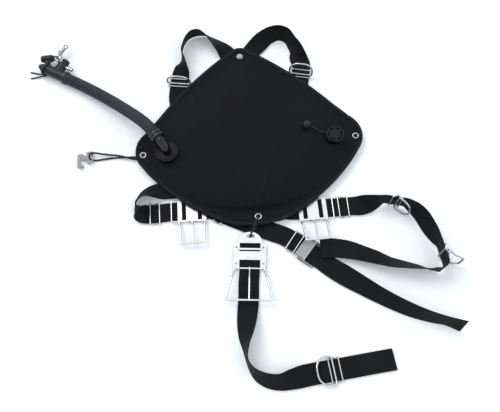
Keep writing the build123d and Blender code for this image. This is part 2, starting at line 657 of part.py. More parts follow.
def build_back_plates():
    """Plates under the wing that the webbing is riveted to."""
    base = Rectangle(132, 120) - Pos(0, -24) * SlotOverall(56, 6)
    lumbar = Pos(0, 25, 0) * extrude(base, LIP_T)
    keep("lumbar_plate", fillet(lumbar.edges().filter_by(Axis.Z), 2))
    x, y = GROMMETS["top"]
    outline = Polygon((-40, 447), (-40, 420), (40, 420), (40, 447), (14, 478), (-14, 478), align=None)
    upper = extrude(outline, LIP_T) - post((x, y), SCREW_R + PIN_FIT, 0, LIP_T)
    keep("upper_plate", upper)
    shaft_top = SEAM_Z + FABRIC_T + GROMMET_T + LAYER_GAP
    screw = post((x, y), SCREW_R, 0, shaft_top) + post((x, y), SCREW_HEAD_R, shaft_top, shaft_top + SCREW_HEAD_T)
    slot = Pos(x, y, shaft_top + SCREW_HEAD_T - 1) * Box(2 * SCREW_HEAD_R, 1.2, 2)
    keep("top_screw", screw - slot)


def build_rails():
    keep("left_rail_plate", SEATS["left_rail"] * rail_plate(-1, 8))
    keep("right_rail_plate", SEATS["right_rail"] * rail_plate(1, 26))


# rings on their slides: turn onto the other face, lean of the bow, kick of the bow
RINGS = {
    "left_shoulder": (0, 84, 0),
    "right_shoulder": (0, 98, 0),
    "waist_ring_a": (0, 34, 0),
    "waist_ring_b": (180, 30, 14),
}


def build_slides_and_rings():
    for name in ("left_waist", "right_waist"):
        keep(f"{name}_slide", SEATS[name] * triglide())
    for name, (turn, lean, kick) in RINGS.items():
        seat = SEATS[name] * Rot(turn, 0, 0)
        ring_name = name if "ring" in name else f"{name}_ring"
        keep(f"{name}_slide", seat * triglide())
        keep(ring_name, seat * d_ring(lean, kick))
    keep("left_hidden_slide", SEATS["left_hidden"] * triglide(pitch=20))
    keep("crotch_slide", SEATS["crotch_ring"] * triglide())
    keep("crotch_ring", SEATS["crotch_ring"] * Rot(0, 0, 180) * d_ring(lean=10))
    keep("belt_keeper", SEATS["keeper"] * triglide(pitch=22))


# ---------------------------------------------------------------- waist buckle
BUCKLE_HALF = 31.0
BUCKLE_L = 46.0
EAR_L = 36.0
EAR_T = 2.5
EAR_TOP = 11.0          # top of the ears above the floor
PIN_R = 1.6
PIN_AT = (-6.0, 4.25)    # pin along the belt and above its middle
BARREL_WALL = 1.0       # lever metal round the pin
LEVER_L = 27.0
LEVER_T = 2.0
LEVER_TILT = 10.0


def build_buckle():
    """Cam buckle: frame behind the belt, a cam lever on a pin between two ears."""
    seat = SEATS["buckle"]
    floor_z = BACK - LIP_T
    pin_x, pin_z = PIN_AT
    base = Pos(0, 0, floor_z + LIP_T / 2) * Box(BUCKLE_L, 2 * BUCKLE_HALF, LIP_T)
    base -= Pos(8, 0, floor_z + LIP_T / 2) * Box(12, SLOT_W - 5, LIP_T)
    ear_h = EAR_TOP - (LOW + HALF_T) - floor_z
    for side in (-1, 1):
        ear_y = side * (BUCKLE_HALF - EAR_T / 2)
        base += Pos(-4, ear_y, floor_z + ear_h / 2) * Box(EAR_L, EAR_T, ear_h)
    pin = rod((pin_x, -BUCKLE_HALF, pin_z), (pin_x, BUCKLE_HALF, pin_z), PIN_R)
    keep("buckle_frame", seat * (base - pin))
    keep("buckle_pin", seat * pin)
    half = BUCKLE_HALF - EAR_T - 1.5
    flap = Pos(-LEVER_L / 2, 0, LEVER_T / 2) * Box(LEVER_L, 2 * half, LEVER_T)
    lever = Pos(pin_x, 0, pin_z) * Rot(0, LEVER_TILT, 0) * flap
    lever += rod((pin_x, -half, pin_z), (pin_x, half, pin_z), PIN_R + BARREL_WALL)
    lever -= Box(2 * EAR_L, 2 * BUCKLE_HALF, 2 * FRONT)
    lever -= rod((pin_x, -half, pin_z), (pin_x, half, pin_z), PIN_R + PIN_FIT)
    keep("buckle_lever", seat * lever)


# ---------------------------------------------------------------- crotch plate and hanger
PLATE_HALF_W = 40.0
PLATE_HALF_H = 34.0
HANGER_FOOT = -14.0     # lower edge of the hanger, which rests on the plate
HANGER_TILT = 3.5


def build_crotch_plate():
    """Two-slot plate with a flared rail; local X points down the strap."""
    seat = SEATS["crotch_plate"]
    blank = RectangleRounded(2 * PLATE_HALF_H, 2 * PLATE_HALF_W, 7)
    slot_x = 21.0
    for x in (-slot_x, slot_x):
        blank -= Pos(x, 0) * Rectangle(20, SLOT_W)
        for y in (-33.5, 33.5):
            blank -= Pos(x, y) * Circle(2.5)
    plate = Pos(0, 0, FRONT) * extrude(blank, PLATE_T)
    for y in (-SLOT_W / 2 - 1.6, SLOT_W / 2 + 1.6):
        wall_h = FRONT - BACK + LIP_T
        plate += Pos(0, y, FRONT - wall_h / 2) * Box(20, 3.2, wall_h)
    plate += Pos(0, 0, BACK - LIP_T / 2) * Box(7, SLOT_W + 6, LIP_T)
    wire_z = FRONT + RAIL_WIRE_R
    foot, knee, far = PLATE_HALF_H - 2, PLATE_HALF_H + 26, PLATE_HALF_H + 80
    rise = 12.0
    rail = [(foot - 6, -36, wire_z), (foot + 6, -37, wire_z), (knee, -43, wire_z + rise),
            (far, -57, wire_z + rise), (far, 57, wire_z + rise), (knee, 43, wire_z + rise),
            (foot + 6, 37, wire_z), (foot - 6, 36, wire_z)]
    plate += bent_wire(rail, RAIL_WIRE_R, 4)
    stem = [(foot - 2, 0, wire_z), (foot + 6, 0, wire_z), (knee, 0, wire_z + rise), (far, 0, wire_z + rise)]
    plate += bent_wire(stem, RAIL_WIRE_R * 0.8, 3)
    keep("crotch_rail_plate", seat * plate)
    half = 31.0
    top = (-60.0, 0)
    arc = ThreePointArc((-26, half), top, (-26, -half))
    closing = FilletPolyline((-26, -half), (HANGER_FOOT, -half), (HANGER_FOOT, half), (-26, half), radius=4)
    hanger = make_face(Wire([arc] + closing.edges()))
    hanger -= Pos(-49, 0) * Rot(0, 0, 90) * SlotOverall(21, 9)
    hanger -= Pos(-25, 0) * Rectangle(13, SLOT_W)
    foot = Pos(HANGER_FOOT, 0, FRONT + PLATE_T + LAYER_GAP)
    raised = foot * Rot(0, HANGER_TILT, 0) * Pos(-HANGER_FOOT, 0, 0)
    keep("crotch_hanger", seat * raised * extrude(hanger, PLATE_T))


# ---------------------------------------------------------------- bolt snap on the inflator bungee
def build_bolt_snap():
    """Bolt snap; X runs from the hook to the swivel eye, the gate slides on X."""
    hold = INFLATOR.from_local_coords((47, LOOP_SIDE, 0))
    eye_heading = 55.0
    seat = Plane(origin=(hold.X, hold.Y, 19), x_dir=heading_vector(eye_heading), z_dir=(0, 0, 1))
    shift = Pos(-2, 5.5, 0)
    hook = [(20, -4, 0), (12, -11, 0), (-7, -11, 0), (-7, 0, 0), (-1, 0, 0)]
    body = bent_wire(hook, 2.0, 4.5) + rod((16, 0, 0), (37, 0, 0), 4.4)
    body += rod((17.5, -4, 0), (24, -2, 0), 2.2)
    body -= rod((16, 0, 0), (33, 0, 0), 2.0 + PIN_FIT)
    body -= Pos(27.5, 5, 0) * Box(11, 10, 2.6)
    body -= rod((33, 0, 0), (37, 0, 0), 1.5 + PIN_FIT)
    keep("bolt_snap_body", seat * shift * body)
    gate = rod((-0.7, 0, 0), (24.5, 0, 0), 2.0) + rod((23.3, 0, 0), (23.3, 6.5, 0), 1.1)
    gate += Pos(23.3, 7.5, 0) * Sphere(2.6)
    keep("bolt_snap_gate", seat * shift * gate)
    ring = Pos(45.5, 0, 0) * Torus(5.6, 1.6)
    eye = ring + rod((33.3, 0, 0), (40.3, 0, 0), 1.5) + rod((37.3, 0, 0), (40, 0, 0), 3.2)
    keep("bolt_snap_eye", seat * shift * eye)


def main():
    for build in (
        build_wing, build_grommets, build_elbow, build_hose, build_inflator, build_inflator_bungee,
        build_valve, build_pull, build_corner_bungees, build_left_hook, build_webbing,
        build_back_plates, build_rails, build_slides_and_rings, build_buckle, build_crotch_plate,
        build_bolt_snap,
    ):
        build()
    os.makedirs("parts", exist_ok=True)
    for name, shape in NODES.items():
        export_step(shape, f"parts/{name}.step")


main()
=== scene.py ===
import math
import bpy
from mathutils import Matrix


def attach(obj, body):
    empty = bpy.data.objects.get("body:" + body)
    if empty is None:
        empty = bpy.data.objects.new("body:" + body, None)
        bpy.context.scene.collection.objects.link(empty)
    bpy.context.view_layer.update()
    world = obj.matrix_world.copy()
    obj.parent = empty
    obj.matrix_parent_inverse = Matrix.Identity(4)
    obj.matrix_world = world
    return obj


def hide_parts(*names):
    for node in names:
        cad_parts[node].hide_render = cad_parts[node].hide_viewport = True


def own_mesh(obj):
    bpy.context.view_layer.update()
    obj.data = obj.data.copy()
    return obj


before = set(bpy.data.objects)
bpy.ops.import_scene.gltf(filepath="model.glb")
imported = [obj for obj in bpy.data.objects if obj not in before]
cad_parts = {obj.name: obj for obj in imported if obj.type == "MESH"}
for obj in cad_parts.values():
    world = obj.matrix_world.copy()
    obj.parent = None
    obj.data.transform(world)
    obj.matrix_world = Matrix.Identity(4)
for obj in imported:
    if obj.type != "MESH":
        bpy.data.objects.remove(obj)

# %% [markdown]
# # A side-mount air pack, dressed in Blender
#
# The hard parts of this pack (plates, slides, rings, valve, inflator) arrive finished and at their
# real size. This lesson gives them their finishes, and makes everything soft: the air bag and its
# edge tape, the webbing, the ribbed hose and the elastic cords. The pack lies on its back plates,
# with +Z up through the bag, +Y to the head end, and all lengths are in metres.

# %% Tools
import warnings

import bmesh
import bpy
import numpy as np
from mathutils import Vector, noise
from mathutils.bvhtree import BVHTree

MM = 0.001
# while holes in the height maps are filled, some neighbourhoods are still empty
warnings.filterwarnings("ignore", "Mean of empty slice", RuntimeWarning)
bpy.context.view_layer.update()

# %% [markdown]
# ## The camera
#
# The pack is looked down on from its foot end, 68 degrees above the floor, with a short telephoto
# lens. The camera comes first, because everything after it is judged through it.

# %% Camera
SENSOR_WIDTH = 36.0
LENS = 42.18
eye = Vector((-0.0755, -0.5477, 1.3928))
aim = Vector((-0.0173, 0.0120, 0.0))
camera_data = bpy.data.cameras.new("camera")
camera_data.sensor_width = SENSOR_WIDTH
camera_data.lens = LENS
camera = bpy.data.objects.new("camera", camera_data)
camera.location = eye
camera.rotation_euler = (aim - eye).to_track_quat("-Z", "Y").to_euler()
bpy.context.scene.collection.objects.link(camera)
bpy.context.scene.camera = camera
print("camera distance", round((aim - eye).length, 3))

# %% [markdown]
# ## Finishes
#
# A finish is a Principled shader whose colour, roughness and bump vary over the surface. Black
# nylon, black rubber and black plastic have nearly the same colour: what tells them apart is how
# rough they are, how they catch the light, and their grain. So each finish starts from a plain
# shader and then gets its own grain, in real millimetres, so that it stays right at any distance.

# %% A finish and its grain
def new_finish(name, colour, roughness, metallic=0.0, **settings):
    """A Principled material; settings are fixed values of other sockets."""
    material = bpy.data.materials.new(name)
    material.use_nodes = True
    shader = material.node_tree.nodes["Principled BSDF"]
    shader.inputs["Base Color"].default_value = (*colour, 1.0)
    shader.inputs["Roughness"].default_value = roughness
    shader.inputs["Metallic"].default_value = metallic
    for socket, value in settings.items():
        shader.inputs[socket.replace("_", " ")].default_value = value
    return material


def node(material, kind, **inputs):
    """A node; an input given as a socket is linked, and anything else is its value."""
    tree = material.node_tree
    made = tree.nodes.new(kind)
    for key, value in inputs.items():
        if hasattr(made, key) and key not in made.inputs:
            setattr(made, key, value)
            continue
        socket = made.inputs[key.replace("_", " ")]
        if isinstance(value, bpy.types.NodeSocket):
            tree.links.new(value, socket)
        else:
            socket.default_value = value
    return made


def place_of(material, kind="Object"):
    """Where on the surface: Object in metres, or UV for pieces with their own length."""
    return node(material, "ShaderNodeTexCoord").outputs[kind]


def grain(material, where, per_metre, detail=4.0):
    """Soft random grain, from 0 to 1."""
    made = node(material, "ShaderNodeTexNoise", Vector=where, Scale=per_metre, Detail=detail)
    return made.outputs["Fac"]


def stripes(material, where, per_metre, direction, wobble=0.0):
    """Even stripes across one direction, from 0 to 1."""
    made = node(material, "ShaderNodeTexWave", Vector=where, Scale=per_metre * math.tau / 20,
                Distortion=wobble)
    made.bands_direction = direction
    return made.outputs["Fac"]


def combine(material, how, a, b):
    made = node(material, "ShaderNodeMath", operation=how)
    tree = material.node_tree
    for socket, value in zip(made.inputs, (a, b)):
        if isinstance(value, bpy.types.NodeSocket):
            tree.links.new(value, socket)
        else:
            socket.default_value = value
    return made.outputs[0]


def spread(material, value, low, high):
    """A 0 to 1 pattern, moved to the range from low to high."""
    made = node(material, "ShaderNodeMapRange", Value=value, To_Min=low, To_Max=high)
    return made.outputs["Result"]


def tint(material, pattern, dark, light, start=0.3, end=0.7):
    """Colour that follows a pattern from dark to light."""
    ramp = node(material, "ShaderNodeValToRGB", Fac=pattern)
    for stop, position, colour in zip(ramp.color_ramp.elements, (start, end), (dark, light)):
        stop.position = position
        stop.color = (*colour, 1.0)
    shader = material.node_tree.nodes["Principled BSDF"]
    material.node_tree.links.new(ramp.outputs["Color"], shader.inputs["Base Color"])


def roughen(material, pattern, low, high):
    shader = material.node_tree.nodes["Principled BSDF"]
    material.node_tree.links.new(spread(material, pattern, low, high), shader.inputs["Roughness"])


def emboss(material, pattern, depth, strength=1.0):
    """Bump of a given depth in metres."""
    made = node(material, "ShaderNodeBump", Height=pattern, Distance=depth, Strength=strength)
    shader = material.node_tree.nodes["Principled BSDF"]
    material.node_tree.links.new(made.outputs["Normal"], shader.inputs["Normal"])


# %% [markdown]
# ## Nylon cloth
#
# The covers are a heavy, coated nylon: plain weave, about 16 threads to the centimetre, almost
# black and quite matte. Two sets of fine stripes at right angles, one taken from the other, give
# the over-and-under of the weave. A wide, faint grain keeps the big panel from looking painted.

# %% Cloth, tape and webbing finishes
def weave(material, where, per_metre):
    across = stripes(material, where, per_metre, "X", 0.4)
    along = stripes(material, where, per_metre, "Y", 0.4)
    return combine(material, "MAXIMUM", combine(material, "SUBTRACT", across, along),
                   combine(material, "SUBTRACT", along, across))


def cloth_finish():
    material = new_finish("coated_nylon", (0.0055, 0.0055, 0.0065), 0.74, Specular_IOR_Level=0.11,
                          Sheen_Weight=0.012, Sheen_Roughness=0.5)
    where = place_of(material)
    threads = weave(material, where, 1600)
    patches = grain(material, where, 9.0, 3.0)
    scuffs = grain(material, where, 160.0, 6.0)
    tint(material, combine(material, "ADD", spread(material, patches, 0.0, 0.7),
                           spread(material, scuffs, 0.0, 0.3)),
         (0.0042, 0.0042, 0.0052), (0.0085, 0.0085, 0.0100), 0.30, 0.72)
    roughen(material, patches, 0.62, 0.80)
    relief = combine(material, "ADD", threads, spread(material, scuffs, 0.0, 0.9))
    emboss(material, relief, 0.00012, 0.55)
    return material


def webbing_finish():
    """Webbing has ribs across it and a twill along it; its selvedges come from the shape of its
    section.
    """
    material = new_finish("nylon_webbing", (0.007, 0.007, 0.008), 0.7, Specular_IOR_Level=0.13,
                          Sheen_Weight=0.018, Sheen_Roughness=0.45)
    where = place_of(material, "UV")
    ribs = stripes(material, where, 900, "X", 0.3)
    twill = stripes(material, where, 760, "DIAGONAL", 0.25)
    fuzz = grain(material, where, 420.0, 5.0)
    wide = grain(material, where, 14.0, 2.0)
    tint(material, combine(material, "ADD", spread(material, twill, 0.0, 0.45),
                           spread(material, wide, 0.0, 0.55)),
         (0.0048, 0.0048, 0.0058), (0.0110, 0.0110, 0.0125), 0.25, 0.8)
    roughen(material, fuzz, 0.60, 0.82)
    emboss(material, combine(material, "ADD", combine(material, "ADD", ribs, twill),
                             spread(material, fuzz, 0.0, 0.8)), 0.00022, 0.6)
    return material


def tape_finish():
    material = new_finish("binding_tape", (0.009, 0.009, 0.0105), 0.66, Specular_IOR_Level=0.15,
                          Sheen_Weight=0.02, Sheen_Roughness=0.4)
    where = place_of(material, "UV")
    ribs = stripes(material, where, 1300, "X", 0.2)
    fuzz = grain(material, where, 260.0, 5.0)
    tint(material, fuzz, (0.0075, 0.0075, 0.0088), (0.0145, 0.0145, 0.0165), 0.3, 0.75)
    roughen(material, fuzz, 0.55, 0.78)
    emboss(material, combine(material, "ADD", ribs, fuzz), 0.00015, 0.6)
    return material


cloth = cloth_finish()
webbing = webbing_finish()
tape = tape_finish()
thread = new_finish("stitch_thread", (0.020, 0.020, 0.022), 0.5, Specular_IOR_Level=0.3)
emboss(thread, stripes(thread, place_of(thread), 2500, "DIAGONAL"), 0.0001, 0.6)
tint(thread, grain(thread, place_of(thread), 90.0), (0.014, 0.014, 0.016), (0.028, 0.028, 0.031))

# %% [markdown]
# ## Rubber and moulded plastic
#
# The hose and mouthpiece are soft rubber: broad, dull highlights and a dusting of lighter bloom.
# The elbow and its ring are a hard, glossy moulding that shows a clear streak of light. The valve,
# the inflator and the knob sit between the two: satin, with the fine spark-eroded texture that a
# mould leaves. The crests of the hose's ribs have a painted highlight, rib by rib, and the hollows
# between them painted shade.

# %% Rubber and plastic finishes
def rubber_finish(name, colour, roughness, bloom=0.35):
    material = new_finish(name, colour, roughness, Specular_IOR_Level=0.27)
    where = place_of(material)
    dust = grain(material, where, 55.0, 6.0)
    fine = grain(material, where, 900.0, 3.0)
    tint(material, dust, colour, tuple(c * (1 + bloom) + 0.003 for c in colour), 0.42, 0.85)
    roughen(material, dust, roughness - 0.07, roughness + 0.10)
    emboss(material, fine, 0.00006, 0.5)
    return material


def plastic_finish(name, colour, roughness, pores=1100.0, depth=0.00005, **settings):
    material = new_finish(name, colour, roughness, **settings)
    where = place_of(material)
    texture = grain(material, where, pores, 2.0)
    handling = grain(material, where, 38.0, 5.0)
    tint(material, handling, tuple(c * 0.85 for c in colour),
         tuple(c * 1.35 + 0.001 for c in colour), 0.35, 0.8)
    roughen(material, handling, max(roughness - 0.06, 0.04), roughness + 0.08)
    emboss(material, texture, depth, 0.5)
    return material


RIB_PITCH = 0.0054          # a little wider than the real ribs, so that they read from afar
hose_rubber = rubber_finish("hose_rubber", (0.021, 0.022, 0.0245), 0.36, 0.25)
# the rib crests get a painted highlight and the hollows between them painted shade, made uneven
# along the hose by a grain
crests = stripes(hose_rubber, place_of(hose_rubber, "UV"), 1 / RIB_PITCH, "X")
uneven_rib_highlight = spread(hose_rubber, grain(hose_rubber, place_of(hose_rubber), 70.0), 0.6, 1.3)
painted_rib_highlight_and_shade = combine(hose_rubber, "MULTIPLY", crests, uneven_rib_highlight)
tint(hose_rubber, painted_rib_highlight_and_shade, (0.002, 0.002, 0.0025), (0.105, 0.112, 0.124), 0.30, 1.0)
mouth_rubber = rubber_finish("mouth_rubber", (0.017, 0.017, 0.018), 0.52)
gloss_moulding = plastic_finish("gloss_moulding", (0.005, 0.005, 0.006), 0.16, 600.0, 0.00002,
                                Specular_IOR_Level=0.42)
satin_moulding = plastic_finish("satin_moulding", (0.0105, 0.0108, 0.0125), 0.38,
                                Specular_IOR_Level=0.32)
valve_moulding = plastic_finish("valve_moulding", (0.0062, 0.0062, 0.0072), 0.40,
                                Specular_IOR_Level=0.22)
button_moulding = plastic_finish("button_moulding", (0.022, 0.022, 0.024), 0.45)
band_moulding = plastic_finish("band_moulding", (0.012, 0.012, 0.013), 0.4)

# %% [markdown]
# ## Stainless steel
#
# The plates, rails, slides and rings are stainless steel that was tumbled to a bright satin. In
# soft white light it reads almost white, with grey where it mirrors the black webbing. The finish
# is a metal of middling roughness with long, very fine scratches and duller patches. On real
# steel the flanks of wires and plates go dark from what they reflect, and that draws their outline
# on white paper. An all-white room gives them nothing dark to reflect, so the darkening is put
# into the colour here: the more a face points sideways, the darker it is.

# %% Metal finishes
FLANK = 0.12                # how much of its brightness a face that points sideways keeps


def steel_finish(name, colour, roughness, scratch=0.00002):
    material = new_finish(name, colour, roughness, 1.0)
    where = place_of(material)
    stretched = node(material, "ShaderNodeMapping", Vector=where)
    stretched.inputs["Scale"].default_value = (1.0, 14.0, 1.0)
    lines = grain(material, stretched.outputs["Vector"], 220.0, 5.0)
    patches = grain(material, where, 60.0, 4.0)
    normal = node(material, "ShaderNodeNewGeometry").outputs["Normal"]
    upward = node(material, "ShaderNodeSeparateXYZ", Vector=normal).outputs["Z"]
    wear = combine(material, "ADD", spread(material, lines, 0.0, 0.4),
                   spread(material, patches, 0.0, 0.6))
    tint(material, combine(material, "MULTIPLY", wear, spread(material, upward, FLANK, 1.0)),
         tuple(c * 0.25 for c in colour), colour, 0.12, 0.42)
    roughen(material, patches, roughness - 0.06, roughness + 0.14)
    emboss(material, lines, scratch, 0.12)
    return material


plate_steel = steel_finish("plate_steel", (0.84, 0.85, 0.87), 0.26)
wire_steel = steel_finish("wire_steel", (0.58, 0.59, 0.60), 0.22)
cast_steel = steel_finish("cast_steel", (0.32, 0.32, 0.33), 0.34, 0.00004)
hook_steel = steel_finish("hook_steel", (0.22, 0.22, 0.23), 0.46, 0.00004)
nickel = steel_finish("nickel", (0.60, 0.60, 0.60), 0.14, 0.00001)
buckle_steel = steel_finish("buckle_steel", (0.36, 0.37, 0.37), 0.32, 0.00003)

# %% [markdown]
# ## Elastic cord
#
# Bungee cord is a bundle of rubber in a braided sleeve. The braid is two sets of stripes that
# cross at a slant, so the same weave as the cloth, turned and much finer, does it.

# %% Cord finish
def braid_finish():
    material = new_finish("braided_sleeve", (0.014, 0.014, 0.016), 0.6, Specular_IOR_Level=0.35,
                          Sheen_Weight=0.05, Sheen_Roughness=0.4)
    where = place_of(material)
    turned = node(material, "ShaderNodeMapping", Vector=where)
    turned.inputs["Rotation"].default_value = (0.0, 0.0, math.radians(45))
    braid = weave(material, turned.outputs["Vector"], 2200)
    fuzz = grain(material, where, 500.0, 4.0)
    tint(material, fuzz, (0.010, 0.010, 0.012), (0.022, 0.022, 0.025), 0.3, 0.75)
    roughen(material, fuzz, 0.5, 0.72)
    emboss(material, combine(material, "ADD", braid, fuzz), 0.00025, 0.7)
    return material


bungee_sleeve = braid_finish()
print("finishes", len(bpy.data.materials))

# %% [markdown]
# ## Adding pieces
#
# Every piece made here gets a mesh or a curve, a finish in its one material slot, and the body
# that it moves with. Most of the pack is one body, the harness.

# %% Helpers that add a piece
def dress(obj, finish, body="harness", stands_for=()):
    obj.data.materials.clear()
    obj.data.materials.append(finish)
    if not obj.users_collection:
        bpy.context.scene.collection.objects.link(obj)
    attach(obj, body)
    if stands_for:
        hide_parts(*stands_for)
    return obj


def mesh_piece(name, points, faces, uvs=None):
    """A smooth mesh from points and faces; uvs holds one pair for each point."""
    mesh = bpy.data.meshes.new(name)
    mesh.from_pydata([tuple(p) for p in points], [], faces)
    if uvs is not None:
        layer = mesh.uv_layers.new(name="lengths")
        for loop in mesh.loops:
            layer.data[loop.index].uv = uvs[loop.vertex_index]
    mesh.polygons.foreach_set("use_smooth", [True] * len(mesh.polygons))
    mesh.update()
    return bpy.data.objects.new(name, mesh)


def grid_faces(rows, columns, wrap=False, offset=0):
    """Quads between rows of points; wrap joins each row's ends."""
    last = columns if wrap else columns - 1
    return [
        (offset + r * columns + c, offset + r * columns + (c + 1) % columns,
         offset + (r + 1) * columns + (c + 1) % columns, offset + (r + 1) * columns + c)
        for r in range(rows - 1) for c in range(last)
    ]


def route_curve(name, points, radius):
    """An open NURBS line through the neighbourhood of its points, with a round section."""
    curve = bpy.data.curves.new(name, "CURVE")
    curve.dimensions = "3D"
    spline = curve.splines.new("NURBS")
    spline.points.add(len(points) - 1)
    for point, place in zip(spline.points, points):
        point.co = (*place, 1.0)
    spline.order_u = 3
    spline.use_endpoint_u = True
    spline.resolution_u = 8
    curve.bevel_depth = radius
    curve.bevel_resolution = 5
    curve.use_fill_caps = True
    return bpy.data.objects.new(name, curve)


def line_of(name, points):
    """The points that the NURBS line really runs through."""
    probe = route_curve(name, points, 0.0)
    mesh = bpy.data.meshes.new_from_object(probe)
    line = [v.co.copy() for v in mesh.vertices]
    bpy.data.meshes.remove(mesh)
    bpy.data.objects.remove(probe)
    return line


def evenly(line, spacing):
    """Points at an even spacing along a line, with the line's length."""
    steps = [0.0]
    for a, b in zip(line, line[1:]):
        steps.append(steps[-1] + (b - a).length)
    count = max(2, round(steps[-1] / spacing))
    result = []
    k = 0
    for i in range(count + 1):
        s = steps[-1] * i / count
        while k < len(steps) - 2 and steps[k + 1] < s:
            k += 1
        t = (s - steps[k]) / max(steps[k + 1] - steps[k], 1e-9)
        result.append(line[k].lerp(line[k + 1], min(max(t, 0.0), 1.0)))
    return result, steps[-1]


def round_tube(name, line, radii, sides=32):
    """A tube along a line whose radius changes from point to point."""
    points, uvs = [], []
    side = Vector((0, 0, 1))
    travelled = 0.0
    for i, (place, radius) in enumerate(zip(line, radii)):
        along = (line[min(i + 1, len(line) - 1)] - line[max(i - 1, 0)]).normalized()
        side = (side - along * side.dot(along)).normalized()
        other = along.cross(side)
        travelled += (place - line[i - 1]).length if i else 0.0
        for k in range(sides):
            angle = math.tau * k / sides
            points.append(place + (side * math.cos(angle) + other * math.sin(angle)) * radius)
            uvs.append((travelled, radius * angle))
    faces = grid_faces(len(line), sides, wrap=True)
    faces += [tuple(reversed(range(sides))), tuple(range(len(points) - sides, len(points)))]
    return mesh_piece(name, points, faces, uvs)


# %% [markdown]
# ## The ribbed hose
#
# The hose is corrugated rubber, 32 mm over its ribs, with a plain cuff at each end where it is
# pushed over a spigot. A tube could get its ribs from a bump map, but their rounded shadow is what
# the eye reads as hose, so the ribs are modelled: the radius rises and falls every 5.4 mm along
# the line. The line itself is one smooth curve from the elbow, down over the edge of the bag, to
# the inflator.

# %% Corrugated hose
HOSE_ROUTE = [
    (-0.2329, 0.19344, 0.070), (-0.2509, 0.22228, 0.070), (-0.275, 0.255, 0.062),
    (-0.315, 0.298, 0.047), (-0.359, 0.341, 0.033), (-0.403, 0.379, 0.024),
    (-0.448, 0.413, 0.019), (-0.493, 0.442, 0.019),
]
HOSE_R = 0.016
RIB_DEPTH = 0.0032
CUFF = 3 * RIB_PITCH
CUFF_RELIEF = 0.0003        # the plain cuff is this much slimmer than the ribs
STEPS_PER_RIB = 8

hose_line, hose_length = evenly(line_of("hose_probe", HOSE_ROUTE), RIB_PITCH / STEPS_PER_RIB)


def hose_radius(s):
    """Plain at the cuffs, ribbed between them."""
    if s < CUFF or s > hose_length - CUFF:
        return HOSE_R - CUFF_RELIEF
    phase = math.sin(math.pi * (s - CUFF) / RIB_PITCH) ** 2
    return HOSE_R - RIB_DEPTH * (1 - phase)


hose_step = hose_length / (len(hose_line) - 1)
hose = round_tube("corrugated_hose_ribbed", hose_line,
                  [hose_radius(i * hose_step) for i in range(len(hose_line))], 40)
dress(hose, hose_rubber, stands_for=["corrugated_hose"])
print("hose length", round(hose_length, 4))

# %% [markdown]
# ## Elastic cords
#
# Three thin cords: the loop that leaves the left corner eyelet and comes back round a steel hook,
# the loop that ties the foot of the bag to its plate, and the short pull on the dump valve. Each
# is a curve with a round section, along the same points as the solid that it stands for.

# %% Bungees and the dump pull
LEFT_BUNGEE_ROUTE = [
    (-0.2905, 0.172, 0.003), (-0.308, 0.174, 0.004), (-0.328, 0.1795, 0.0095),
    (-0.348, 0.187, 0.009), (-0.372, 0.193, 0.006), (-0.396, 0.198, 0.007),
    (-0.412, 0.2005, 0.0125), (-0.424, 0.1985, 0.012),
    (-0.4255, 0.187, 0.0029), (-0.413, 0.1815, 0.0026), (-0.392, 0.183, 0.0027),
    (-0.364, 0.1845, 0.0027), (-0.336, 0.1835, 0.0027), (-0.310, 0.181, 0.0027),
    (-0.2905, 0.182, 0.0027),
]
BOTTOM_BUNGEE_ROUTE = [
    (-0.0005, -0.027, 0.0216), (-0.007, -0.038, 0.023), (-0.014, -0.052, 0.022),
    (-0.021, -0.064, 0.018), (-0.026, -0.074, 0.014), (-0.0268, -0.0755, 0.0073),
    (-0.019, -0.067, 0.0073), (-0.011, -0.054, 0.0076), (-0.004, -0.040, 0.0086),
    (0.001, -0.026, 0.0105),
]
PULL_ROUTE = [
    (0.1995, 0.179, 0.044), (0.188, 0.184, 0.0455), (0.175, 0.191, 0.0495), (0.160, 0.198, 0.053),
]

left_bungee = route_curve("left_bungee_cord", LEFT_BUNGEE_ROUTE, 0.0025)
dress(left_bungee, bungee_sleeve, stands_for=["left_bungee"])
bottom_bungee = route_curve("bottom_bungee_cord", BOTTOM_BUNGEE_ROUTE, 0.002)
dress(bottom_bungee, bungee_sleeve, stands_for=["bottom_bungee"])
pull_cord = route_curve("dump_pull_line", PULL_ROUTE, 0.0015)
dress(pull_cord, bungee_sleeve, stands_for=["dump_pull_cord"])

# %% [markdown]
# ## Small knots
#
# The cord round the inflator is tied off with two free tails, and two more little knots sit on the
# edge of the bag by the left eyelet. A knot is an overhand knot, pulled tight, and that is a cord
# that runs once along a trefoil, so a tube along a trefoil makes one.

# %% Tails and knots
TAIL_ROUTES = [
    [(-0.548, 0.462, 0.009), (-0.566, 0.469, 0.005), (-0.580, 0.475, 0.003),
     (-0.590, 0.478, 0.0025)],
    [(-0.548, 0.460, 0.008), (-0.562, 0.460, 0.004), (-0.576, 0.459, 0.0025),
     (-0.589, 0.458, 0.002)],
]
for letter, route in zip("ab", TAIL_ROUTES):
    tail = route_curve("bungee_tail_" + letter, route, 0.002)
    dress(tail, bungee_sleeve)


KNOT_STEPS = 48
KNOT_SIDES = 12


def knot(name, centre, size, thickness):
    """A tight overhand knot: a closed tube along a trefoil, flattened a little."""
    centre = Vector(centre)
    line = []
    for k in range(KNOT_STEPS + 1):
        t = math.tau * k / KNOT_STEPS
        line.append(centre + Vector(((math.sin(t) + 2 * math.sin(2 * t)) / 3,
                                     (math.cos(t) - 2 * math.cos(2 * t)) / 3,
                                     -math.sin(3 * t) * 0.45)) * size)
    tube = round_tube(name, line, [thickness] * len(line), KNOT_SIDES)
    return dress(tube, bungee_sleeve)


knot("tail_knot", (-0.5475, 0.4605, 0.0095), 0.0036, 0.0019)
knot("edge_knot_a", (-0.2925, 0.2120, 0.0205), 0.0026, 0.0014)
knot("edge_knot_b", (-0.2855, 0.2000, 0.0205), 0.0026, 0.0014)

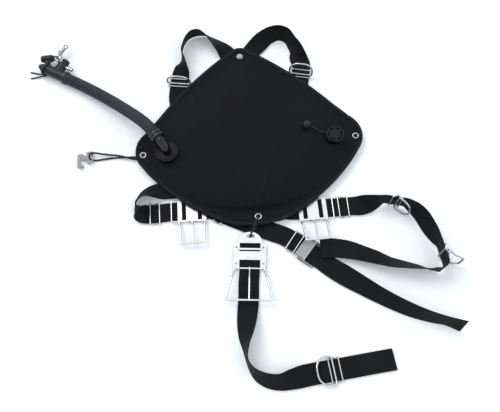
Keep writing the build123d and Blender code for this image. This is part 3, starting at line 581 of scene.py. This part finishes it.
# %% [markdown]
# ## Webbing
#
# All the straps are one material: 50 mm nylon webbing, 2.5 mm thick. A strap that lies on the
# floor stands up on its edge as soon as it has to turn, so each one is described by stations: a
# place on the floor, how far it has rolled from flat (0) to on edge (90), and how high its lower
# edge is. A smooth curve goes through the stations, and a section of webbing is swept along it.
# The section has rounded, slightly thicker selvedges and a shallow hollow between them, which is
# what catches a thin line of light along each side.

# %% The smooth run of a strap
WEB_W = 50.0
WEB_T = 2.5
LOW = 2.5               # lower edge of webbing that lies low, in millimetres
HIGH = 8.1              # lower edge of webbing that crosses a plate
EDGE_LIFT = 9.5         # lower edge of webbing that stands in a ring's slide
LEAD = 4                # length kept straight beyond each end of a piece of hardware
STRAP_STEP = 4.0        # distance between sections of a strap
FLOOR_GAP = 2.2         # no lower edge comes nearer to the floor
PLACES = {
    "left_shoulder": (-175, 398, -100),
    "right_shoulder": (165, 394, -104),
    "left_waist": (-260, 14, -1),
    "left_rail": (-175, 13, -2),
    "left_hidden": (-92, -2, -28),
    "right_rail": (149, -15, -1),
    "right_waist": (219, -16.2, -1),
    "waist_ring_a": (346, -25, -16, 90, EDGE_LIFT),
    "waist_ring_b": (434, -170, -84, 90, EDGE_LIFT),
    "keeper": (84, -98, -39),
    "buckle": (121, -131, -42),
    "crotch_plate": (-31.5, -122, -97),
    "crotch_ring": (135, -414, 4),
}


def run(name, half=15.0):
    """Four stations that keep the webbing straight through a piece of hardware."""
    x, y, heading, *stance = PLACES[name]
    roll, lift = stance or (0.0, LOW)
    turn = math.radians(heading)
    return [(x + math.cos(turn) * d, y + math.sin(turn) * d, roll, lift)
            for d in (-half - LEAD, -half, half, half + LEAD)]


def stations_along(stations, spacing):
    """Smooth stations about every spacing millimetres."""
    known = np.array([s if len(s) == 4 else (*s, LOW) for s in stations], float)
    gaps = np.hypot(*(known[1:, :2] - known[:-1, :2]).T)
    rates = (known[1:] - known[:-1]) / gaps[:, None]
    slopes = np.vstack([rates[:1], (rates[:-1] * gaps[1:, None] + rates[1:] * gaps[:-1, None])
                        / (gaps[:-1] + gaps[1:])[:, None], rates[-1:]])
    result = []
    for a, b, m, n, gap in zip(known, known[1:], slopes, slopes[1:], gaps):
        for t in np.arange(0.0, 1.0, 1.0 / max(1, round(gap / spacing))):
            result.append(a * (1 + 2 * t) * (1 - t) ** 2 + b * t * t * (3 - 2 * t)
                          + gap * (m * t * (1 - t) ** 2 - n * t * t * (1 - t)))
    return result + [known[-1]]


# %% The webbing section and its sweep
EDGE_STEPS = [(1.0, 0.0), (0.992, 0.62), (0.975, 0.96), (0.945, 1.0), (0.91, 0.93)]
INNER_STEPS = [(0.72, 0.90), (0.36, 0.88), (0.0, 0.87)]


def webbing_section():
    """Half-width and half-thickness shares, once round the webbing."""
    quarter = EDGE_STEPS + INNER_STEPS
    top = quarter[1:] + [(-u, v) for u, v in reversed(quarter[1:-1])]
    return [(1.0, 0.0)] + top + [(-1.0, 0.0)] + [(u, -v) for u, v in reversed(top)]


def strap_piece(name, stations, node_name):
    section = webbing_section()
    rows = stations_along(stations, STRAP_STEP)
    centres = []
    for x, y, roll, lift in rows:
        upright, level = abs(math.sin(math.radians(roll))), abs(math.cos(math.radians(roll)))
        middle = max(lift, FLOOR_GAP) + upright * WEB_W / 2 + level * WEB_T / 2
        centres.append(Vector((x, y, middle)))
    points, uvs = [], []
    travelled = 0.0
    for i, (_, _, roll, _) in enumerate(rows):
        along = (centres[min(i + 1, len(rows) - 1)] - centres[max(i - 1, 0)]).normalized()
        level = Vector((-along.y, along.x, 0)).normalized()
        upward = along.cross(level)
        turn = math.radians(roll)
        across = level * math.cos(turn) + upward * math.sin(turn)
        out = along.cross(across)
        travelled += (centres[i] - centres[i - 1]).length if i else 0.0
        for u, v in section:
            points.append((centres[i] + across * (u * WEB_W / 2) + out * (v * WEB_T / 2)) * MM)
            uvs.append((travelled * MM, u * WEB_W / 2 * MM))
    sides = len(section)
    faces = grid_faces(len(rows), sides, wrap=True)
    faces += [tuple(reversed(range(sides))), tuple(range(len(points) - sides, len(points)))]
    strap = mesh_piece(name, points, faces, uvs)
    dress(strap, webbing, stands_for=[node_name])
    print(name, "length", round(travelled), "mm")


# %% [markdown]
# ## The straps themselves
#
# Two shoulder straps leave the head of the bag, arch over the floor on edge and come back under
# the bag through a slide and a ring. The waist belt is in two halves that meet at the buckle, each
# with a rail plate; the free tail of each half twists as it lies. The crotch strap runs from its
# plate down to a ring and a slide.

# %% Shoulder straps and spine
LEFT_SHOULDER = [
    (-24, 468, 0), (-34, 484, 0), (-50, 502, 25), (-68, 520, 45), (-87, 538, 60), (-109, 548, 72),
    (-131, 544, 76), (-148, 526, 78), (-158, 499, 82), (-161, 472, 88), (-163, 450, 56),
    (-167, 431, 16), *run("left_shoulder"), (-182, 346, 0), (-172, 300, 0), (-142, 230, 0),
    (-104, 160, 0), (-60, 80, 0),
]
RIGHT_SHOULDER = [
    (24, 468, 0), (34, 483, 0), (53, 497, 20), (75, 511, 45), (97, 521, 60), (119, 523, 70),
    (138, 513, 72), (150, 487, 70), (160, 462, 54), (165, 441, 22), (171, 426, 5),
    *run("right_shoulder"), (148, 325, 0), (122, 240, 0), (92, 155, 0), (60, 80, 0),
]
SPINE = [(0, 425, 0), (0, 300, 0), (0, 150, 0), (0, 20, 0)]

strap_piece("left_shoulder_webbing", LEFT_SHOULDER, "left_shoulder_strap")
strap_piece("right_shoulder_webbing", RIGHT_SHOULDER, "right_shoulder_strap")
strap_piece("spine_webbing", SPINE, "spine_strap")

# %% Waist belt and crotch strap
LEFT_BELT = [
    (-6, 24, 0, HIGH), (-60, 50, 0, HIGH), (-120, 65, 0, HIGH), (-180, 72, 0, HIGH),
    (-215, 74, 0, 6.5), (-243, 74, 8), (-268, 68, 30), (-290, 57, 58), (-302, 43, 74),
    (-306, 30, 78), (-303, 20, 72), (-293, 14.8, 42), *run("left_waist", 14.5),
    *run("left_rail", 48), *run("left_hidden", 13), (-40, -30, 0), (-11, -45, 0), (24, -62, 0),
    *run("keeper", 16)[:3], *run("buckle", 23)[1:], (157, -165, 0), (187, -193, 20),
    (223, -224, 42), (261, -254, 55), (300, -281, 62), (339, -304, 68), (377, -322, 75),
    (412, -335, 80), (445, -350, 72),
]
RIGHT_BELT = [
    (6, 22, 0, HIGH), (32, 4, 0, HIGH), (64, -9.5, 0, 5.5), *run("right_rail", 48)[:2],
    *run("right_waist", 17)[2:], (262, -20, 18), (282, -21, 46, 4), (303, -20, 72, 7),
    *run("waist_ring_a", 19), (386, -44, 78, 7), (404, -66, 66, 4), (417, -100, 64, 4),
    (426, -128, 76, 7), *run("waist_ring_b", 19), (434, -203, 90, EDGE_LIFT), (423, -211, 88, 8),
    (404, -208, 78), (380, -200, 66), (340, -188, 54), (306, -177, 44), (273, -160, 30),
    (245, -147, 22, 3), (212, -134, 8, 8), (178, -126, 0, 11.5), (143, -122, 0, 11.5),
]
CROTCH = [
    *run("crotch_plate", 34), (-40, -182, 0), (-46, -231, 0), (-54, -275, 18), (-60, -312, 44),
    (-64, -347, 74), (-64, -374, 86), (-56, -395, 80), (-41, -412, 66), (-20, -424, 56),
    (5, -429, 48), (34, -425, 30), (64, -420, 8), (88, -417.3, 0),
    *run("crotch_ring", 25), (217, -408, 0), (276, -404, 0),
]

strap_piece("left_belt_webbing", LEFT_BELT, "left_waist_belt")
strap_piece("right_belt_webbing", RIGHT_BELT, "right_waist_belt")
strap_piece("crotch_webbing", CROTCH, "crotch_strap")

# %% [markdown]
# ## The air bag
#
# The bag is two nylon covers over a film bladder, nearly empty, so it lies in one low dome with
# soft, irregular wrinkles and small puckers that run in from the edge seam. A cloth simulation
# could make them, but the covers must stay clear of the plates below and the fittings above, and
# here the heights are known. So the surface is a height map on rings that follow the outline: a
# ray from above finds the dome under each point, and noise that fades towards the seam adds the
# wrinkles and puckers.

# %% Outline and heights of the bag
def tree_of(name):
    made = bmesh.new()
    made.from_mesh(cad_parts[name].data)
    tree = BVHTree.FromBMesh(made)
    made.free()
    return tree


HEART = Vector((0.0, 0.200, 0.0))       # the outline is seen whole from here
TURNS = 540
RINGS = 84
SEAM_Z = 0.017
HALF_SEAM = 0.0006                      # half the thickness of the welded edge
FAR_OUT = 0.6                           # well outside the outline
EASE = 14                               # turns each way that smooth the outline
LAST_RING = 0.985                       # the outermost height is read just inside the seam
FILL_PASSES = 400
SETTLE_PASSES = 160
SLACK_REACH = 0.12                      # the cloth is at its slackest this far from the seam
EDGE_TUCK = 0.004                       # the covers end this far inside the tape's outer edge

edge_tree = tree_of("edge_binding")
front_tree = tree_of("front_panel")
back_tree = tree_of("back_panel")


def outline_radius(angle):
    ray = Vector((math.cos(angle), math.sin(angle), 0))
    start = HEART + ray * FAR_OUT + Vector((0, 0, SEAM_Z))
    return FAR_OUT - edge_tree.ray_cast(start, -ray)[3]


angles = [math.tau * k / TURNS for k in range(TURNS)]
cut = np.array([outline_radius(a) for a in angles])
eased = sum(np.roll(cut, k) for k in range(-EASE, EASE + 1)) / (2 * EASE + 1)
radii = [float(r) for r in np.maximum(cut, eased)]     # no inward corner where two curves meet


def height_map(tree, side):
    """Height of the cover at each ring and turn; holes are filled from their neighbours."""
    heights = np.full((RINGS + 1, TURNS), np.nan)
    for r in range(RINGS + 1):
        share = min(r / RINGS, LAST_RING)
        for k, angle in enumerate(angles):
            place = HEART + Vector((math.cos(angle), math.sin(angle), 0)) * radii[k] * share
            hit = tree.ray_cast(place + Vector((0, 0, 0.2 * side)), Vector((0, 0, -side)))[0]
            if hit:
                heights[r, k] = hit.z
    heights[0, :] = np.nanmean(heights[0, :])
    for _ in range(FILL_PASSES):
        empty = np.isnan(heights)
        if not empty.any():
            break
        around = np.stack([np.roll(heights, 1, 1), np.roll(heights, -1, 1),
                           np.vstack([heights[1:], heights[-1:]]),
                           np.vstack([heights[:1], heights[:-1]])])
        heights[empty] = np.nanmean(around, axis=0)[empty]
    return heights


def relax(heights, passes):
    """Let the cover settle, never above where it was, so that the flat corners stay flat."""
    settled = heights.copy()
    for _ in range(passes):
        inner = settled[1:-1]
        around = settled[2:] + settled[:-2] + np.roll(inner, 1, 1) + np.roll(inner, -1, 1)
        inner += 0.5 * (around / 4 - inner)
    span = np.array(radii)[None, :] * (1 - np.arange(RINGS + 1)[:, None] / RINGS)
    slack = np.clip(span / SLACK_REACH, 0, 1) ** 0.7
    return np.minimum(settled, SEAM_Z + (heights - SEAM_Z) * slack + HALF_SEAM)


front_heights = relax(height_map(front_tree, 1), SETTLE_PASSES)
back_heights = height_map(back_tree, -1)
print("crown", round(float(front_heights.max()) * 1000, 1), "mm")

# %% [markdown]
# ## Wrinkles
#
# Three sizes of unevenness make slack cloth believable: wide swells of a hand's width, long soft
# creases that point at the corners, and short puckers square to the seam, where stitching draws
# the cloth in. A flat tuck is sewn across the foot of the bag.

# %% Wrinkles and the shell
FOOT_TUCK = (Vector((-0.127, 0.005, 0)), Vector((0.104, 0.000, 0)))
EYELET_SPOTS = [(-0.282, 0.177), (0.282, 0.177), (0.0, 0.460), (0.0, -0.025)]
EYELET_R = 0.0095
CALM = [(Vector((-0.217, 0.168, 0)), 0.0285), (Vector((0.222, 0.171, 0)), 0.023)]
CALM += [(Vector((x, y, 0)), EYELET_R) for x, y in EYELET_SPOTS]
CALM_EDGE = 0.014                       # over this distance the wrinkles come back


def tuck(place):
    """A sewn fold across the foot of the bag: a low ridge with a step below it."""
    a, b = FOOT_TUCK
    t = max(0.0, min(1.0, (place.x - a.x) / (b.x - a.x)))
    line_y = a.y + (b.y - a.y) * t - 0.012 * math.sin(math.pi * t)
    fade = math.sin(math.pi * t) ** 0.5 if 0 < t < 1 else 0.0
    d = (place.y - line_y) / 0.004
    return fade * (0.0011 * math.exp(-d * d) - 0.0007 * math.exp(-(d + 1.8) ** 2))


def wrinkle(place, angle, share, edge_distance):
    """How far the slack cloth stands above or below the plain dome."""
    slack = min(1.0, edge_distance / 0.05) * min(1.0, share * 4)
    swell = noise.noise(place * 9.0 + Vector((3.1, 0, 0))) * 0.0026
    drift = place + Vector((noise.noise(place * 12.0),
                            noise.noise(place * 12.0 + Vector((9, 0, 0))), 0)) * 0.02
    crease = (1 - abs(noise.noise(Vector((drift.x * 16, drift.y * 7, 4.0)))) * 2.4)
    crease = max(0.0, crease) ** 3 * 0.0016
    fine = noise.noise(place * 55.0) * 0.0004
    pucker = noise.noise(Vector((math.cos(angle) * 38, math.sin(angle) * 38, 7.0)))
    pucker *= 0.0016 * math.exp(-edge_distance / 0.022) * min(1.0, edge_distance / 0.006)
    rise = (swell + crease + fine) * slack + pucker + tuck(place)
    for centre, radius in CALM:         # held flat by the valve, the flange and the eyelets
        away = (Vector((place.x, place.y, 0)) - centre).length - radius
        if away < CALM_EDGE:
            rise *= max(0.0, away / CALM_EDGE)
    return rise


points, uvs = [], []
for side, heights in ((1, front_heights), (-1, back_heights)):
    for r in range(RINGS + 1):
        share = r / RINGS
        for k, angle in enumerate(angles):
            reach = (radii[k] - EDGE_TUCK) * share
            flat = Vector((math.cos(angle) * reach, HEART.y + math.sin(angle) * reach, 0))
            edge_distance = radii[k] * (1 - share)
            height = float(heights[r, k])
            if side > 0:
                height += wrinkle(flat, angle, share, edge_distance)
            else:
                height += 0.3 * abs(wrinkle(flat, angle, share, edge_distance))
            if r == RINGS:
                height = SEAM_Z + side * HALF_SEAM
            points.append(Vector((flat.x, flat.y, height)))
            uvs.append((flat.x, flat.y))

sheet_size = (RINGS + 1) * TURNS
faces = [tuple(reversed(f)) for f in grid_faces(RINGS + 1, TURNS, wrap=True)]
faces += grid_faces(RINGS + 1, TURNS, wrap=True, offset=sheet_size)
rim = RINGS * TURNS
faces += [(rim + k, rim + (k + 1) % TURNS, sheet_size + rim + (k + 1) % TURNS, sheet_size + rim + k)
          for k in range(TURNS)]
bag = mesh_piece("bag_covers", points, faces, uvs)
tidy_mesh = bmesh.new()
tidy_mesh.from_mesh(bag.data)
bmesh.ops.remove_doubles(tidy_mesh, verts=tidy_mesh.verts, dist=0.00005)
bmesh.ops.recalc_face_normals(tidy_mesh, faces=tidy_mesh.faces)
tidy_mesh.to_mesh(bag.data)
tidy_mesh.free()
dress(bag, cloth, stands_for=["front_panel", "back_panel", "inner_bladder"])
print("bag faces", len(bag.data.polygons))

# %% [markdown]
# ## The edge tape and its stitches
#
# A ribbed tape is folded over the raw edge of both covers and sewn through. It is swept round the
# outline with a soft, slightly puffed section. The stitches are real little loops of thread, one
# every 3.6 mm, because a row of them catches the light as a dotted line that no bump map gives.

# %% Edge tape
TAPE_W = 0.0092
TAPE_T = 0.0024


def outline_frames(inset=0.0):
    """Point, inward direction and along direction round the outline."""
    ring = [HEART + Vector((math.cos(a), math.sin(a), 0)) * r for a, r in zip(angles, radii)]
    frames = []
    for k, place in enumerate(ring):
        along = (ring[(k + 2) % TURNS] - ring[k - 2]).normalized()
        inward = Vector((-along.y, along.x, 0))
        frames.append((place + inward * inset, inward, along))
    return frames


tape_section = [(0.0, 0.0), (0.02, 0.45), (0.09, 0.8), (0.22, 0.97), (0.45, 1.0), (0.60, 0.86),
                (0.68, 0.74), (0.76, 0.88), (0.90, 0.92), (0.985, 0.72), (1.0, 0.42)]
tape_ring = tape_section + [(u, -v) for u, v in reversed(tape_section[1:])]
points, uvs = [], []
travelled = 0.0
frames = outline_frames()
for k, (place, inward, along) in enumerate(frames):
    travelled += (place - frames[k - 1][0]).length if k else 0.0
    sway = 1 + 0.05 * noise.noise(place * 60.0)
    for u, v in tape_ring:
        height = SEAM_Z + v * TAPE_T * sway
        points.append(Vector((place.x, place.y, height)) + inward * (u * TAPE_W))
        uvs.append((travelled, u * TAPE_W))
wide = len(tape_ring)
last_row = (TURNS - 1) * wide
tape_faces = grid_faces(TURNS, wide, wrap=True)
tape_faces += [(last_row + c, last_row + (c + 1) % wide, (c + 1) % wide, c) for c in range(wide)]
edge = mesh_piece("edge_tape", points, tape_faces, uvs)
dress(edge, tape, stands_for=["edge_binding"])
print("tape length", round(travelled, 3))

# %% Stitches
STITCH_PITCH = 0.0036
STITCH_L = 0.0026
STITCH_R = 0.00033
STITCH_STEPS = 5
STITCH_SIDES = 6


def stitch_row(name, line):
    """Short arched stitches along a level line of points."""
    up = Vector((0, 0, 1))
    places, _ = evenly(line, STITCH_PITCH)
    points, faces = [], []
    for a, b in zip(places, places[1:]):
        along = (b - a).normalized()
        side = along.cross(up).normalized()
        start = len(points)
        for step in range(STITCH_STEPS):
            t = step / (STITCH_STEPS - 1)
            arch = STITCH_R * 1.3 * math.sin(math.pi * t) - STITCH_R * 0.3
            core = a + along * (STITCH_L * t) + up * arch
            thick = STITCH_R * (0.55 + 0.45 * math.sin(math.pi * t))
            for k in range(STITCH_SIDES):
                angle = math.tau * k / STITCH_SIDES
                points.append(core + (side * math.cos(angle) + up * math.sin(angle)) * thick)
        end = start + (STITCH_STEPS - 1) * STITCH_SIDES
        faces += grid_faces(STITCH_STEPS, STITCH_SIDES, wrap=True, offset=start)
        faces += [tuple(start + k for k in reversed(range(STITCH_SIDES))),
                  tuple(end + k for k in range(STITCH_SIDES))]
    row = mesh_piece(name, points, faces)
    return dress(row, thread)


stitch_line = [Vector((place.x, place.y, SEAM_Z + TAPE_T * 0.78))
               for place, _, _ in outline_frames(inset=TAPE_W * 0.68)]
stitch_row("edge_stitches", stitch_line + stitch_line[:1])

# %% [markdown]
# ## Eyelets
#
# Plated eyelets, most likely nickel on brass, hold the corners. An eyelet is a turned part, so it
# is a profile spun round its axis: a rolled flange above, the barrel through the hole, and a washer
# below.

# %% Corner eyelets
def spin(profile, centre, sides=48):
    """A turned part: (radius, height) points spun round the vertical through centre."""
    points = []
    for radius, height in profile:
        for k in range(sides):
            angle = math.tau * k / sides
            points.append(Vector((centre.x + radius * math.cos(angle),
                                  centre.y + radius * math.sin(angle), centre.z + height)))
    return points, grid_faces(len(profile), sides, wrap=True)


EYELET = [(5.05, -2.1), (9.1, -2.2), (9.5, -1.7), (9.4, -1.2), (5.6, -1.2), (5.25, 0.0),
          (5.7, 1.2), (8.4, 0.6), (8.7, 1.0), (8.5, 1.6), (8.0, 2.1), (7.3, 2.35), (6.6, 2.2),
          (6.0, 1.75), (5.5, 1.0), (5.05, 0.0), (5.05, -2.1)]        # radius and height, mm
points, faces = [], []
for x, y in EYELET_SPOTS:
    centre = Vector((x, y, SEAM_Z))
    ring_points, ring_faces = spin([(r * MM, h * MM) for r, h in EYELET], centre)
    faces += [tuple(i + len(points) for i in f) for f in ring_faces]
    points += ring_points
eyelets = mesh_piece("corner_eyelets", points, faces)
dress(eyelets, nickel, stands_for=["corner_grommets"])
print("eyelets", len(EYELET_SPOTS))

# %% [markdown]
# ## Finishes on the hard parts
#
# The rest of the pack keeps its shape from the model, so here each part only gets its finish and
# smooth shading with crisp edges where the surface turns by more than 32 degrees.

# %% Hard parts
CRISP_ANGLE = 32
HARD_PARTS = {
    plate_steel: ["left_rail_plate", "right_rail_plate", "crotch_rail_plate", "crotch_hanger",
                  "lumbar_plate", "upper_plate"],
    wire_steel: ["left_shoulder_slide", "left_shoulder_ring", "right_shoulder_slide",
                 "right_shoulder_ring", "left_waist_slide", "left_hidden_slide",
                 "right_waist_slide", "belt_keeper", "waist_ring_a", "waist_ring_a_slide",
                 "waist_ring_b", "waist_ring_b_slide", "crotch_ring", "crotch_slide"],
    buckle_steel: ["buckle_frame", "buckle_lever", "buckle_pin"],
    hook_steel: ["left_hook"],
    cast_steel: ["bolt_snap_body", "bolt_snap_gate", "bolt_snap_eye"],
    nickel: ["top_screw", "inlet_nipple", "dump_spring"],
    gloss_moulding: ["elbow"],
    valve_moulding: ["elbow_flange", "flange_ring_nut", "dump_valve_base", "dump_valve_cover",
                     "dump_poppet"],
    satin_moulding: ["inflator_body", "dump_pull_knob"],
    button_moulding: ["inflate_button", "deflate_button"],
    band_moulding: ["hose_clamps"],
    mouth_rubber: ["mouthpiece"],
    bungee_sleeve: ["inflator_bungee", "bungee_knot"],
}
for finish, names in HARD_PARTS.items():
    for name in names:
        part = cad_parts[name]
        part.data.materials.clear()
        part.data.materials.append(finish)
        part.data.polygons.foreach_set("use_smooth", [True] * len(part.data.polygons))
        part.data.set_sharp_from_angle(angle=math.radians(CRISP_ANGLE))
print("hard parts", sum(len(names) for names in HARD_PARTS.values()))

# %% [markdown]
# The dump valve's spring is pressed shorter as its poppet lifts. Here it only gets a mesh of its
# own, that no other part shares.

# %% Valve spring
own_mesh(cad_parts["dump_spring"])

# %% [markdown]
# ## Floor and light
#
# The pack lies on white paper under soft, even light. The paper would be grey if it only took the
# light that suits black cloth, so it adds a little of its own to what the eye and anything shiny
# see, and it keeps the pack's soft shadow. One wide, distant light above and to the left and a
# weaker one opposite give the dome its slow change of tone. The room lights the pack mostly from
# overhead, with a bluish cast, as a ceiling lamp under an open sky would.

# %% Floor
FLOOR_REACH = 60.0
FLOOR_DROP = 0.0004         # the paper is this far below the pack
PAPER_GLOW = 0.17


def white_rays(owner):
    """1 for what the eye, anything shiny and anything clear sees, and 0 for all other rays."""
    path = node(owner, "ShaderNodeLightPath")
    seen = combine(owner, "MAXIMUM", path.outputs["Is Camera Ray"], path.outputs["Is Glossy Ray"])
    return combine(owner, "MAXIMUM", seen, path.outputs["Is Transmission Ray"])


floor_mesh = bpy.data.meshes.new("floor")
corners = [(x * FLOOR_REACH, y * FLOOR_REACH, 0) for x, y in ((-1, -1), (1, -1), (1, 1), (-1, 1))]
floor_mesh.from_pydata(corners, [], [(0, 1, 2, 3)])
floor = bpy.data.objects.new("floor", floor_mesh)
floor.location.z = -FLOOR_DROP
bpy.context.scene.collection.objects.link(floor)
paper = bpy.data.materials.new("white_paper")
paper.use_nodes = True
tree = paper.node_tree
tree.nodes.clear()
matte = node(paper, "ShaderNodeBsdfDiffuse", Color=(0.96, 0.945, 0.92, 1.0))
glow = node(paper, "ShaderNodeEmission", Color=(1.0, 0.99, 0.97, 1.0))
tree.links.new(combine(paper, "MULTIPLY", white_rays(paper), PAPER_GLOW), glow.inputs["Strength"])
both = node(paper, "ShaderNodeAddShader")
tree.links.new(matte.outputs[0], both.inputs[0])
tree.links.new(glow.outputs[0], both.inputs[1])
output = node(paper, "ShaderNodeOutputMaterial")
tree.links.new(both.outputs[0], output.inputs["Surface"])
floor_mesh.materials.append(paper)

# %% Lights and surroundings
def soft_light(name, place, spread_angle, power, colour):
    data = bpy.data.lights.new(name, "SUN")
    data.angle = math.radians(spread_angle)
    data.energy = power
    data.color = colour
    lamp = bpy.data.objects.new(name, data)
    lamp.location = place
    lamp.rotation_euler = (Vector((0, 0.1, 0)) - Vector(place)).to_track_quat("-Z", "Y").to_euler()
    bpy.context.scene.collection.objects.link(lamp)


soft_light("key_light", (-1.3, 1.5, 2.2), 32, 1.05, (1.0, 0.99, 0.97))
soft_light("fill_light", (1.7, -0.6, 1.9), 40, 0.35, (0.93, 0.96, 1.0))

world = bpy.data.worlds.new("studio")
bpy.context.scene.world = world
world.use_nodes = True
tree = world.node_tree
tree.nodes.clear()
sky = node(world, "ShaderNodeTexCoord").outputs["Generated"]
height = node(world, "ShaderNodeSeparateXYZ", Vector=sky).outputs["Z"]
room = node(world, "ShaderNodeValToRGB", Fac=height)
horizon, overhead = room.color_ramp.elements
horizon.position, horizon.color = 0.0, (0.05, 0.055, 0.065, 1.0)
overhead.position, overhead.color = 1.0, (0.95, 1.03, 1.15, 1.0)
room.color_ramp.elements.new(0.45).color = (0.30, 0.37, 0.45, 1.0)
surround = node(world, "ShaderNodeBackground", Color=room.outputs["Color"], Strength=1.0)
white = node(world, "ShaderNodeBackground", Color=(1.0, 1.0, 1.0, 1.0), Strength=1.0)
choose = node(world, "ShaderNodeMixShader", Fac=white_rays(world))
tree.links.new(surround.outputs[0], choose.inputs[1])
tree.links.new(white.outputs[0], choose.inputs[2])
world_output = node(world, "ShaderNodeOutputWorld")
tree.links.new(choose.outputs[0], world_output.inputs["Surface"])
bpy.context.scene.view_settings.view_transform = "Standard"

# %% [markdown]
# ## Last update
#
# The soft pieces may stand a little proud of the model's box; the scene is brought up to date.

# %% Update
bpy.context.view_layer.update()
